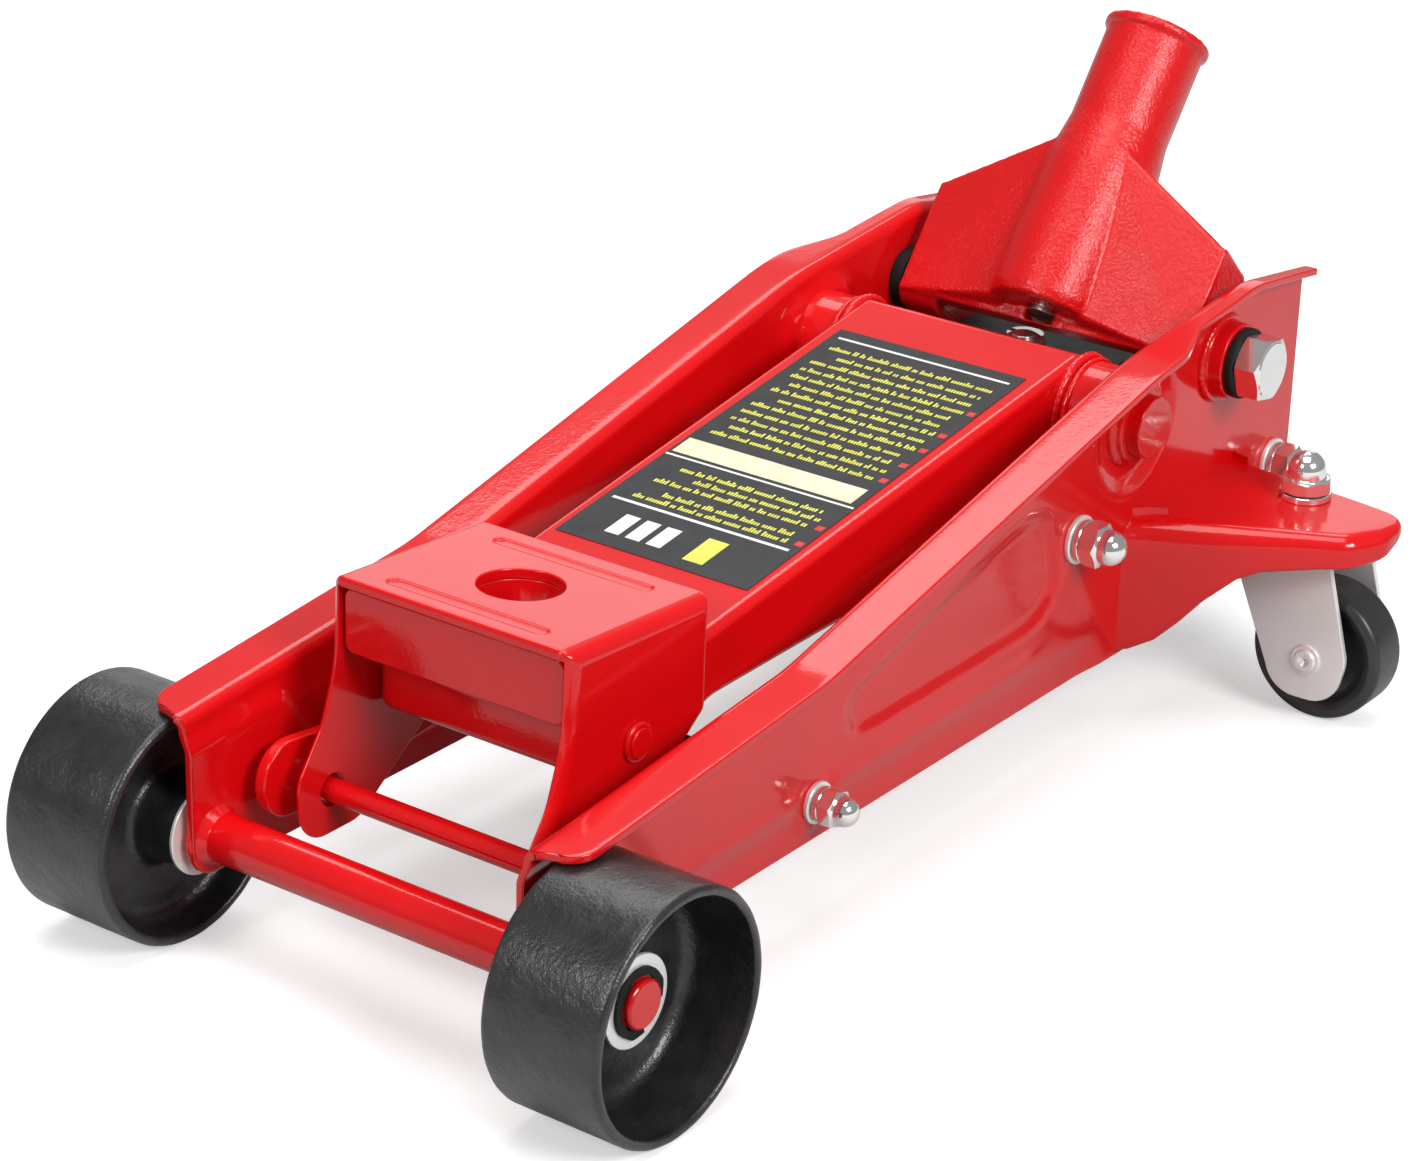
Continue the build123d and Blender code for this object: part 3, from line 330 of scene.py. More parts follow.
def soften(piece, width, angle, clamp=False):
    """Rounds the edges sharper than the angle by a width in millimetres."""
    bevel = piece.modifiers.new("edge", "BEVEL")
    bevel.width = width * M
    bevel.segments = 2
    bevel.limit_method = "ANGLE"
    bevel.angle_limit = math.radians(angle)
    bevel.use_clamp_overlap = clamp
    bevel.loop_slide = True
    normals = piece.modifiers.new("normals", "WEIGHTED_NORMAL")
    normals.keep_sharp = False
    bake_modifiers(piece)


def fit_out(piece, body, slot, *nodes, material=None):
    """Gives a piece its material, its body and the CAD nodes that it stands for."""
    if not piece.data.materials:
        piece.data.materials.append(material or looks[slot])
    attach(piece, body)
    if nodes:
        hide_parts(*nodes)


def ring_faces(rings, count, closed_loop=True):
    """Quads between neighbouring rings of points, or between open rows of them."""
    faces = []
    for r in range(rings - 1):
        for k in range(count if closed_loop else count - 1):
            a, b = r * count + k, r * count + (k + 1) % count
            faces.append((a, b, b + count, a + count))
    return faces


def frame_of(axis):
    """The axis at unit length and two directions square to it."""
    axis = Vector(axis).normalized()
    across = UP if abs(axis.z) < 0.9 else Vector((1, 0, 0))
    across = (across - axis * across.dot(axis)).normalized()
    return axis, across, axis.cross(across)


def lathe(name, centre, axis, profile, segments=96, close=True, sharp=32):
    """Turns a profile of (along, radius) in millimetres about an axis through centre."""
    axis, across, third = frame_of(axis)
    points = []
    for along, radius in profile:
        for k in range(segments):
            turn = 2 * math.pi * k / segments
            side = across * math.cos(turn) + third * math.sin(turn)
            points.append(centre + axis * (along * M) + side * (radius * M))
    faces = ring_faces(len(profile), segments)
    if close:
        last = (len(profile) - 1) * segments
        faces += [(last + k, last + (k + 1) % segments, (k + 1) % segments, k) for k in range(segments)]
    return build(name, points, faces, sharp)


def hex_radius(turn, flats):
    """Distance from a hexagon's middle to its outline in a direction."""
    return flats / 2 / math.cos((turn % (math.pi / 3)) - math.pi / 6)


def hex_piece(name, centre, axis, flats, height, crown, turned):
    """Hexagon with chamfered corners; crown is a profile of (along, radius) that goes on from its top."""
    axis, across, third = frame_of(axis)
    segments, inscribed = 144, flats / 2 * 0.97
    rings = [[] for _ in range(5 + len(crown))]
    for k in range(segments):
        turn = 2 * math.pi * k / segments
        side = across * math.cos(turn + turned) + third * math.sin(turn + turned)
        face = hex_radius(turn, flats)
        chamfer = (face - inscribed) * 0.45
        below = [(0.0, 0.5), (0.0, inscribed), (chamfer, face)]
        above = [(height - chamfer, face), (height, inscribed)]
        for ring, (along, radius) in zip(rings, below + above + crown):
            ring.append(centre + axis * (along * M) + side * (radius * M))
    faces = ring_faces(len(rings), segments)
    last = (len(rings) - 1) * segments
    faces.append(tuple(range(last, last + segments)))
    faces.append(tuple(reversed(range(segments))))
    return build(name, [point for ring in rings for point in ring], faces, 15)


def join(name, pieces):
    """One object out of several, keeping their materials."""
    bpy.ops.object.select_all(action="DESELECT")
    for piece in pieces:
        piece.select_set(True)
    bpy.context.view_layer.objects.active = pieces[0]
    bpy.ops.object.join()
    pieces[0].name = pieces[0].data.name = name
    return pieces[0]


def thick_sheet(name, outer, inner, edge):
    """Closed sheet between two equal grids of points, with rounded rims."""
    rows, columns = len(outer), len(outer[0])
    points = [p for row in outer for p in row] + [p for row in inner for p in row]
    half = rows * columns
    faces = ring_faces(rows, columns, closed_loop=False)
    faces += [tuple(reversed([i + half for i in face])) for face in faces]
    rim = [(0, c) for c in range(columns)]
    rim += [(r, columns - 1) for r in range(1, rows)]
    rim += [(rows - 1, c) for c in reversed(range(columns - 1))]
    rim += [(r, 0) for r in reversed(range(1, rows - 1))]
    loop = [r * columns + c for r, c in rim]
    faces += [(a, b, b + half, a + half) for a, b in zip(loop, loop[1:] + loop[:1])]
    piece = build(name, points, faces)
    soften(piece, edge, 60)
    return piece


def helix(name, start, end, coil_r, wire_r, turns):
    """Round wire coiled between two points, its turns closer together towards both ends."""
    sides, per_turn = 10, 28
    axis, across, third = frame_of(end - start)
    travel = (end - start).length - 2 * wire_r * M
    first, last = 0.07, 0.93
    eased = float(ease(last) - ease(first))
    count = int(turns * per_turn)
    points = []
    for k in range(count + 1):
        share = k / count
        climbed = float(ease(share * (last - first) + first) - ease(first))
        rise = wire_r * M + travel * climbed / eased
        turn = 2 * math.pi * turns * share
        out = across * math.cos(turn) + third * math.sin(turn)
        centre = start + axis * rise + out * (coil_r * M)
        for s in range(sides):
            a = 2 * math.pi * s / sides
            points.append(centre + (out * math.cos(a) + axis * math.sin(a)) * (wire_r * M))
    faces = ring_faces(count + 1, sides)
    faces.append(tuple(reversed(range(sides))))
    faces.append(tuple(range(count * sides, (count + 1) * sides)))
    return build(name, points, faces, 60)


def weld_ring(name, centre, axis, radius, bead, body, ripples, seed):
    """Weld bead laid round a circle, rippled like a stack of coins and painted over."""
    dice = random.Random(seed)
    axis, across, third = frame_of(axis)
    segments, sides = 240, 10
    drift = [dice.uniform(0, 2 * math.pi) for _ in range(2)]
    points = []
    for k in range(segments):
        turn = 2 * math.pi * k / segments
        out = across * math.cos(turn) + third * math.sin(turn)
        ripple = 0.10 * abs(math.sin(turn * ripples / 2)) + 0.08 * math.sin(3 * turn + drift[0])
        size = bead * (1 + ripple + 0.05 * math.sin(7 * turn + drift[1]))
        middle = centre + out * (radius * M)
        for s in range(sides):
            a = 2 * math.pi * s / sides
            points.append(middle + (out * math.cos(a) + axis * math.sin(a)) * (size * M))
    faces = ring_faces(segments, sides)
    last = (segments - 1) * sides
    faces += [(last + s, last + (s + 1) % sides, (s + 1) % sides, s) for s in range(sides)]
    fit_out(build(name, points, faces, 80), body, "red_paint")


def cad_shape(name, node, flatten):
    """The CAD node's own mesh with its seams closed and, when flatten is set, its flat facets joined."""
    work = bmesh.new()
    work.from_mesh(frame["nodes"][node].data)
    bmesh.ops.remove_doubles(work, verts=work.verts, dist=2e-6)
    if flatten:
        bmesh.ops.dissolve_limit(work, angle_limit=math.radians(0.4), verts=work.verts, edges=work.edges)
    points = [v.co.copy() for v in work.verts]
    faces = [tuple(v.index for v in face.verts) for face in work.faces]
    work.free()
    return build(name, points, faces)


def refined(node, width):
    """Shows a CAD node in its own shape, with its edges rounded."""
    piece = cad_shape(node + "_shape", node, flatten=True)
    soften(piece, width, 32, clamp=node in FINE_CUT)
    fit_out(piece, node_body[node], node_slot[node], node, material=own_looks.get(node))


# -------------------- side plates

def mask(region, s, z, corner, wall):
    """1 well inside a convex outline of (behind, up) points, easing over the wall to 0 at the outline."""
    total = np.zeros_like(s)
    for (s0, z0), (s1, z1) in zip(region, region[1:] + region[:1]):
        length = math.hypot(s1 - s0, z1 - z0)
        total += np.exp((((s - s0) * (z1 - z0) - (z - z0) * (s1 - s0)) / length) / corner)
    past_outline = corner * np.log(total)
    return 1 - ease((past_outline + wall) / wall)


def plate_relief(s, z):
    """How far the side plate's pressed relief stands out at (behind, up)."""
    panel_depth, rib_height, foot_depth, nose_depth, dish_depth = 2.6, 1.1, 1.3, 2.8, 3.0
    panel = [(170, 61), (300, 62), (316, 76), (304, 113), (288, 116), (163, 82)]
    relief = -panel_depth * mask(panel, s, z, 3.5, 7)
    rib = np.exp(-((z - 51.5 - 0.004 * (s - 150)) / 3.0) ** 2)
    relief += rib_height * rib * ease((s - 62) / 25) * (1 - ease((s - 285) / 25))
    relief -= foot_depth * (1 - ease((z - 40) / 9)) * ease((s - 60) / 30) * (1 - ease((s - 330) / 20))
    nose_end = 41 + 0.74 * (74 - z)
    relief -= nose_depth * (1 - ease((s - nose_end) / 8))
    around_shaft = np.hypot(s - ARM_SHAFT[0], z - ARM_SHAFT[1])
    relief -= dish_depth * (1 - ease((around_shaft - 22) / 8))
    for at, _, _, _, _, washer in SIDE_NUTS:
        relief *= ease((np.hypot(s - at[0], z - at[1]) - washer - 0.8) / 5)
    return relief


def side_plate(side):
    """Pressed plate: relief on the wall, a rounded bend and a flange with an S-shaped front."""
    sign = SIDES[side]
    bend, arc_steps, wall_steps, flange_steps = 5.0, 7, 44, 6
    nose_len, nose_out, rear_out = 3.0, PLATE_OUT + 2.4, 86.0
    top_line = rounded(PLATE_TOP, [120, 160, 60])
    belly = [(PLATE_FRONT - 0.01, 43), *PLATE_BELLY, (PLATE_REAR + 0.01, 90)]
    low_line = rounded(belly, [11, 12, 12, 8, 11])
    nose_end = PLATE_FRONT + nose_len
    corner = FLANGE_CORNER * (1 - np.cos(np.linspace(0, math.pi / 2, 14)))
    s = np.concatenate([np.linspace(PLATE_FRONT, nose_end, 7)[:-1], nose_end + corner,
                        np.linspace(4, 486, 230), np.linspace(487, PLATE_REAR, 7)])
    top = np.interp(s, [p.x for p in top_line], [p.y for p in top_line])
    low = np.interp(s, [p.x for p in low_line], [p.y for p in low_line])
    shoulder = FLANGE_OUT - FLANGE_CORNER
    into = np.clip(FLANGE_CORNER - (s - nose_end), 0, FLANGE_CORNER)
    edge = shoulder + np.sqrt(FLANGE_CORNER ** 2 - into ** 2)
    nose = nose_out + (shoulder - nose_out) * ((s - PLATE_FRONT) / nose_len) ** 2
    edge = np.where(s < nose_end, nose, edge)
    edge -= (FLANGE_OUT - rear_out) * ease((s - 362) / 36) + 2.0 * ease((s - 400) / 90)
    outer, inner = [], []
    for k, behind in enumerate(s):
        up = low[k] + (top[k] - bend - low[k]) * np.linspace(0, 1, wall_steps)
        relief = plate_relief(np.full_like(up, behind), up) * ease((top[k] - bend - up) / 9)
        middle = (PLATE_IN + bend, top[k] - bend)
        line_out = [(PLATE_OUT + r, z) for r, z in zip(relief, up)]
        line_in = [(PLATE_IN + r, z) for r, z in zip(relief, up)]
        for step in range(1, arc_steps + 1):
            a = math.pi / 2 * step / arc_steps
            for line, radius in ((line_out, bend - PLATE_T), (line_in, bend)):
                line.append((middle[0] - radius * math.cos(a), middle[1] + radius * math.sin(a)))
        for step in range(1, flange_steps + 1):
            y = middle[0] + (edge[k] - middle[0]) * step / flange_steps
            line_out.append((y, top[k] - PLATE_T))
            line_in.append((y, top[k]))
        outer.append([spot(behind, sign * y, z) for y, z in line_out])
        inner.append([spot(behind, sign * y, z) for y, z in line_in])
    piece = thick_sheet(f"side_plate_{side}_pressing", outer, inner, 0.6)
    fit_out(piece, "chassis", "red_paint", f"side_plate_{side}")


# -------------------- caster wings

def rounded_sheet(name, outer, inner):
    """Sheet with a full round edge at the first point of each row and a square one at the last."""
    loops = []
    for row_out, row_in in zip(outer, inner):
        middle = (row_out[0] + row_in[0]) / 2
        half = row_out[0] - middle
        away = (row_out[0] - row_out[1]).normalized() * half.length
        turns = np.linspace(0, math.pi, 7)[1:-1]
        nose = [middle + half * math.cos(a) + away * math.sin(a) for a in turns]
        loops.append(list(reversed(row_out)) + nose + list(row_in))
    count = len(loops[0])
    faces = ring_faces(len(loops), count)
    last = (len(loops) - 1) * count
    faces += [tuple(reversed(range(count))), tuple(range(last, last + count))]
    return build(name, [p for loop in loops for p in loop], faces, 50)


def caster_wing(side):
    """Pressed wing: flat top, a wide bend, a skirt that sweeps down to the frame and a lip round the tip."""
    sign = SIDES[side]
    root, lip_low = PLATE_OUT - 0.5, 78.5
    skirt_steps, arc_steps, flat_steps, columns = 12, 8, 18, 220
    corners = [(358, 77.5), (398.5, 156), (414, 164), (434, 164), (449.5, 77.5)]
    rim = rounded(corners, [13, 12, 14], 12)
    lengths = np.cumsum([0] + [(b - a).length for a, b in zip(rim, rim[1:])])
    walk = np.linspace(0, lengths[-1], columns)
    rim_s = np.interp(walk, lengths, [p.x for p in rim])
    rim_y = np.interp(walk, lengths, [p.y for p in rim])
    past_tip = ease((rim_s - 404) / 28)
    bend = 9.0 - 3.0 * ease((rim_y - 96) / 50) - 3.0 * past_tip
    skirt_y = [77.5, 82, 91, 99, 107, 118, 126, 146, 164]
    skirt_z = [34.6, 35.5, 40.5, 49, 59, 69.5, 73.3, 76.5, lip_low]
    low = np.interp(rim_y, skirt_y, skirt_z)
    low = np.where(rim_s > 420, lip_low, low)
    low = low + (BRACKET_TOP - bend - 0.6 - low) * past_tip
    run_s, run_y = np.gradient(rim_s), np.gradient(rim_y)
    size = np.hypot(run_s, run_y)
    in_s, in_y = run_y / size, -run_s / size
    rows = []
    for k in range(columns):
        top, b = BRACKET_TOP, bend[k]
        row = []
        for step in range(skirt_steps):
            row.append((rim_s[k], rim_y[k], low[k] + (top - b - low[k]) * step / skirt_steps))
        for step in range(arc_steps + 1):
            a = math.pi / 2 * step / arc_steps
            in_by = b * (1 - math.cos(a))
            up = top - b + b * math.sin(a)
            row.append((rim_s[k] + in_s[k] * in_by, rim_y[k] + in_y[k] * in_by, up))
        share = walk[k] / walk[-1]
        start_s, start_y, _ = row[-1]
        root_s = 360 + 88 * share
        for step in range(1, flat_steps + 1):
            t = step / flat_steps
            row.append((start_s + (root_s - start_s) * t, start_y + (root - start_y) * t, top))
        rows.append(row)
    grid = np.array(rows)
    grid[..., 1] = np.maximum(grid[..., 1], root)
    along, across = np.gradient(grid, axis=0), np.gradient(grid, axis=1)
    normal = np.cross(along, across)
    if normal[columns // 2, -3, 2] < 0:
        normal = -normal
    normal /= np.maximum(np.linalg.norm(normal, axis=2, keepdims=True), 1e-9)
    under = grid - normal * (BRACKET_T - 0.6)
    under[..., 1] = np.maximum(under[..., 1], root)
    out_points = [[spot(s, sign * y, z) for s, y, z in row] for row in grid]
    in_points = [[spot(s, sign * y, z) for s, y, z in row] for row in under]
    piece = rounded_sheet(f"caster_bracket_{side}_pressing", out_points, in_points)
    fit_out(piece, "chassis", "red_paint", f"caster_bracket_{side}")


# -------------------- fasteners

def spring_washer(name, centre, axis, inner, outer, thick, turned):
    """Split washer: one turn of flat wire whose ends stand slightly apart."""
    axis, across, third = frame_of(axis)
    segments, gap, lift, corner = 96, 0.055, 0.5, 0.3
    section = [(inner, 0), (outer - corner, 0), (outer, corner), (outer, thick - corner),
               (outer - corner, thick), (inner, thick)]
    points = []
    for k in range(segments + 1):
        share = k / segments
        turn = 2 * math.pi * (gap / 2 + share * (1 - gap)) + turned
        out = across * math.cos(turn) + third * math.sin(turn)
        base = lift * share
        for radius, along in section:
            points.append(centre + axis * ((base + along) * M) + out * (radius * M))
    count = len(section)
    faces = ring_faces(segments + 1, count)
    faces += [tuple(reversed(range(count))), tuple(range(segments * count, (segments + 1) * count))]
    return build(name, points, faces, 30)


def dome(base, radius, neck):
    """Crown profile of an acorn nut above its hexagon."""
    crown = [(base + 0.2, radius + 0.5), (base + 0.7, radius), (base + neck, radius)]
    for step in range(1, 15):
        a = math.pi / 2 * step / 15
        crown.append((base + neck + radius * math.sin(a), radius * math.cos(a)))
    return crown + [(base + neck + radius, 0.25)]


def side_fasteners():
    """Acorn nuts with their washers on both plates and on the caster studs."""
    nuts, plain, split = [], [], []
    plain_t, split_lift = 2.0, 2.1
    caster_flats, caster_height, caster_lift = 19, 5.4, 3.2
    for sign in SIDES.values():
        outwards = Vector((0, sign, 0))
        for number, (at, thread, flats, height, crown, washer) in enumerate(SIDE_NUTS):
            turned = math.radians(12 + 17 * number)
            seat = spot(at[0], sign * NUT_FACE, at[1])
            top = dome(height, crown, crown * 0.35)
            nuts.append(hex_piece("nut", seat, outwards, flats, height, top, turned))
            flat = rounded([(0, thread), (0, washer), (plain_t, washer), (plain_t, thread)], [0.4, 0.4], 3)
            plain.append(lathe("washer", spot(at[0], sign * PLATE_OUT, at[1]), outwards, flat))
            seat = spot(at[0], sign * (PLATE_OUT + split_lift), at[1])
            split.append(spring_washer("split", seat, outwards, thread, washer - 1.2, 2.4, turned + 2.0))
        seat = spot(CASTER[0], sign * CASTER[1], BRACKET_TOP + caster_lift)
        top = dome(caster_height, 7.6, 3.2)
        nuts.append(hex_piece("nut", seat, UP, caster_flats, caster_height, top, 0.5))
        seat = spot(CASTER[0], sign * CASTER[1], BRACKET_TOP)
        turned = -0.75 * sign + (math.pi if sign < 0 else 0)
        split.append(spring_washer("split", seat, UP, 6.1, 10.5, 2.6, turned))
    fit_out(join("acorn_nut_set", nuts), "chassis", "chrome", "acorn_nuts")
    fit_out(join("plain_washer_set", plain), "chassis", "zinc", "plain_washers")
    fit_out(join("spring_washer_set", split), "chassis", "chrome", "spring_washers")


def pivot_bolts():
    """Large hexagon bolts on the handle pivot with black washers, and the bosses they seat on."""
    bolts, washers, bosses = [], [], []
    shank_r, bore, head_y, washer_y, flats, height = 8, 8.1, 90, 86, 24, 10.6
    middle = spot(PIVOT[0], 0, PIVOT[1])
    for sign in SIDES.values():
        outwards = Vector((0, sign, 0))
        seat = spot(PIVOT[0], sign * head_y, PIVOT[1])
        bolts.append(hex_piece("bolt", seat, outwards, flats, height, [(height, 11.4), (11.0, 10.9)], 0.35))
        rod = [(50, 0.5), (50, shank_r), (head_y + 0.5, shank_r), (head_y + 0.5, 0.5)]
        bolts.append(lathe("shank", middle, outwards, rod, 64))
        ring = rounded([(washer_y, bore), (washer_y, 14.4), (head_y, 14.4), (head_y, bore)], [1.1, 1.1], 4)
        washers.append(lathe("washer", middle, outwards, ring))
        boss = [(75, bore), (75, 18.5), (78.1, 18.0), (80.0, 15.8), (washer_y, 15.4), (washer_y, bore)]
        boss = rounded(boss, [0, 1.5, 2, 0.8], 5)
        bosses.append(lathe("boss", middle, outwards, boss))
        collar = [(71, 12.6), (71, 18.0), (76.5, 17.6), (77.6, 15.8), (80.0, 15.2), (80.0, 12.6)]
        collar = rounded(collar, [0, 1.5, 1.5, 1.0], 5)
        bosses.append(lathe("collar", spot(ARM_SHAFT[0], 0, ARM_SHAFT[1]), outwards, collar))
    fit_out(join("handle_pivot_bolt_set", bolts), "chassis", "chrome", "handle_pivot_bolts")
    fit_out(join("handle_pivot_washer_set", washers), "chassis", "black_steel", "handle_pivot_washers")
    fit_out(join("frame_boss_set", bosses), "chassis", "red_paint", "frame_bosses")


def retaining_rings():
    """Open snap rings in the grooves at the ends of the front axle."""
    clips = []
    segments, thick, inner_y, gap = 90, 1.2, 112.7, math.radians(64)
    for sign in SIDES.values():
        points = []
        for k in range(segments + 1):
            turn = math.radians(-135) + gap / 2 + (2 * math.pi - gap) * k / segments
            prong = max(0.0, math.cos(3 * (turn - math.radians(45)))) ** 6
            inner, outer = 9.6 - 1.7 * prong, 12.4 + 0.5 * prong
            for radius, y in ((inner, 0), (outer, 0), (outer, thick), (inner, thick)):
                behind, up = -radius * math.cos(turn), WHEEL_R + radius * math.sin(turn)
                points.append(spot(behind, sign * (inner_y + y), up))
        faces = ring_faces(segments + 1, 4)
        faces += [(3, 2, 1, 0), tuple(segments * 4 + k for k in range(4))]
        clips.append(build("clip", points, faces, 30))
    fit_out(join("axle_clip_set", clips), "chassis", "black_steel", "axle_retaining_rings")


# -------------------- wheels

def front_wheel(side):
    """Cast wheel with a deep dish each side, its surface slightly uneven as cast."""
    sign = SIDES[side]
    bore, hub_r, web_r, rim_r = 9.3, 14.5, 16.5, WHEEL_R - WHEEL_RIM_T
    corners = [(79.4, bore), (110.5, bore), (110.6, hub_r), (102.5, web_r), (103.2, rim_r - 1),
               (WHEEL_OUTER, rim_r + 0.6), (WHEEL_OUTER, WHEEL_R), (WHEEL_INNER, WHEEL_R),
               (WHEEL_INNER, rim_r + 0.6), (97.0, rim_r - 1), (97.5, web_r), (79.4, hub_r),
               (79.4, bore + 0.1)]
    profile = rounded(corners, [0.4, 1.0, 4.5, 6.5, 1.5, 2.2, 2.2, 1.5, 6.5, 4.5, 1.0], 7)
    dense = []
    for a, b in zip(profile, profile[1:]):
        pieces = max(1, int((b - a).length / 2.2))
        dense += [a.lerp(b, k / pieces) for k in range(pieces)]
    dense.append(profile[-1])
    middle = spot(0, 0, WHEEL_R)
    piece = lathe(f"front_wheel_{side}_casting", middle, (0, sign, 0), dense, 180, sharp=50)
    dice = random.Random(11 + sign)
    phases = [dice.uniform(0, 6.28) for _ in range(3)]
    unevenness, smooth_within = 0.16, 17
    for vertex in piece.data.vertices:
        out = vertex.co - middle
        radius = math.hypot(out.x, out.z)
        if radius > smooth_within * M:
            turn = math.atan2(out.z, out.x)
            wave = math.sin(9 * turn + phases[0] + out.y * 160)
            wave *= math.sin(14 * turn + phases[1] - out.y * 240)
            wave += 0.6 * math.sin(23 * turn + phases[2] + out.y * 520)
            shrink = 1 - (0.5 + 0.5 * wave / 1.6) * unevenness * M / radius
            vertex.co.x = middle.x + out.x * shrink
            vertex.co.z = middle.z + out.z * shrink
    fit_out(piece, f"wheel_{side}", "black_cast", f"front_wheel_{side}")


def caster_middle(side):
    """Centre of a caster's wheel at rest."""
    return spot(CASTER[0], SIDES[side] * (CASTER[1] + CASTER_TRAIL), CASTER_WHEEL_R)


def caster_roller(side):
    """Moulded caster wheel with rounded shoulders, recessed webs and a long hub."""
    half = [(15.2, 8.0), (7.0, 9.0), (6.4, 19.5), (9.5, 21.5), (11, 24.5), (9.6, CASTER_WHEEL_R)]
    corners = [(-15.2, 4.3), (15.2, 4.3), *half, *[(-a, r) for a, r in reversed(half)], (-15.2, 4.4)]
    profile = rounded(corners, [0.3, 1.0, 2.0, 3.0, 1.2, 1.5, 3.0, 3.0, 1.5, 1.2, 3.0, 2.0, 1.0], 6)
    piece = lathe(f"caster_wheel_{side}_moulding", caster_middle(side), (1, 0, 0), profile, 120, sharp=50)
    fit_out(piece, f"roller_{side}", "caster_tread", f"caster_wheel_{side}")


def caster_rivet(side):
    """Rivet of a caster wheel: dished heads with a raised ring."""
    half = [(18.0, 6.6), (18.9, 6.5), (19.1, 5.6), (18.9, 4.8), (20.0, 4.2), (20.0, 2.6), (19.0, 1.2),
            (18.8, 0.3)]
    profile = [(-a, r) for a, r in reversed(half)] + [(-17.9, 4.0), (17.9, 4.0)] + half
    profile = rounded(profile, [0.3] * 15, 3)
    piece = lathe(f"caster_axle_{side}_rivet", caster_middle(side), (1, 0, 0), profile, 48, close=False)
    fit_out(piece, f"caster_{side}", "zinc", f"caster_axle_{side}")


# -------------------- handle socket

def tube_point(along, across, y):
    """A point of the socket: along the tube from the pivot, ahead of it, and sideways."""
    behind = PIVOT[0] + along * math.sin(SOCKET_TILT) - across * math.cos(SOCKET_TILT)
    up = PIVOT[1] + along * math.cos(SOCKET_TILT) + across * math.sin(SOCKET_TILT)
    return spot(behind, y, up)


def tube_axis():
    """Direction of the tube, upwards."""
    return tube_point(1, 0, 0) - tube_point(0, 0, 0)


def hull(name, points):
    """Convex solid round a few points."""
    work = bmesh.new()
    for point in points:
        work.verts.new(point)
    bmesh.ops.convex_hull(work, input=work.verts)
    mesh = bpy.data.meshes.new(name)
    work.to_mesh(mesh)
    work.free()
    piece = bpy.data.objects.new(name, mesh)
    bpy.context.scene.collection.objects.link(piece)
    return piece


def socket_web(sign):
    """One half of the socket's web: thin at the ear, swelling up to the foot of the tube."""
    back = [(-9, 3, 68), (39, 3, 68), (42.5, 3, 63), (61, 3, 24), (61, 3, 8), (-9, 3, 8)]
    ear = [(-9, 13, 68), (39, 13, 68), (42.5, 13, 63)]
    swell = [(-3, 19, 22), (30, 20.5, 21.5), (54, 23, 20), (69, 27.0, 12), (-3, 19, 8), (69, 25.5, 8)]
    web = hull("web", [tube_point(along, across, sign * y) for along, across, y in back + ear + swell])
    profile = [(-20, 0.01), (-20, SOCKET_CORE), (130, SOCKET_CORE), (130, 0.01)]
    core = lathe("core", tube_point(0, SOCKET_OFFSET, 0), tube_axis(), profile, 64, close=False)
    cut = web.modifiers.new("bore", "BOOLEAN")
    cut.operation = "DIFFERENCE"
    cut.object = core
    bake_modifiers(web)
    bpy.data.objects.remove(core)
    return web


def socket_foot():
    """Swollen foot of the tube: a ring below, a round body and a taper up into the tube."""
    profile = [(-3.6, 12), (-3.6, 21.4), (-2, 23.4), (1, 24.4), (25, 24.8), (59, 23.8), (66, 22.9),
               (79, 21.0), (79, SOCKET_CORE), (0, SOCKET_CORE), (-1, 12)]
    return lathe("foot", tube_point(0, SOCKET_OFFSET, 0), tube_axis(), profile)


def handle_casting():
    """The socket as one casting: every inside corner filled and every edge worn round."""
    piece = cad_shape("handle_socket_casting", "handle_socket", flatten=False)
    piece = join("handle_socket_casting", [piece, socket_web(1), socket_web(-1), socket_foot()])
    remesh = piece.modifiers.new("casting", "REMESH")
    remesh.mode = "VOXEL"
    remesh.voxel_size = 0.85 * M
    even = piece.modifiers.new("even", "SMOOTH")
    even.factor = 0.5
    even.iterations = 9
    bake_modifiers(piece)
    shade(piece, 80)
    fit_out(piece, "handle", "cast_red", "handle_socket")


# -------------------- springs, label

def spring(name, node, start, end, coil_r, wire_r, turns):
    """Coil between the chassis and a body, in place of the CAD node."""
    coil = helix(name, start, end, coil_r, wire_r, turns)
    coil.data.materials.append(looks["spring_steel"])
    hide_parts(node)
    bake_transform(coil)


def springs():
    """The pair of return springs under the hanger and the plunger's spring."""
    half_gap, from_side, from_end = 36, 4.4, 0.4
    low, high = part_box("arm_return_springs")
    for name, sign in SIDES.items():
        start = Vector((low.x + from_side * M, sign * half_gap * M, high.z - from_end * M))
        end = Vector((high.x - from_side * M, sign * half_gap * M, low.z + from_end * M))
        spring(f"return_spring_{name}", "arm_return_springs", start, end, 3.4, 0.75, 9)
    low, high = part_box("plunger_spring")
    middle = (low + high) / 2
    start, end = Vector((middle.x, middle.y, low.z)), Vector((middle.x, middle.y, high.z))
    spring("plunger_return_spring", "plunger_spring", start, end, 8.2, 1.1, 5)


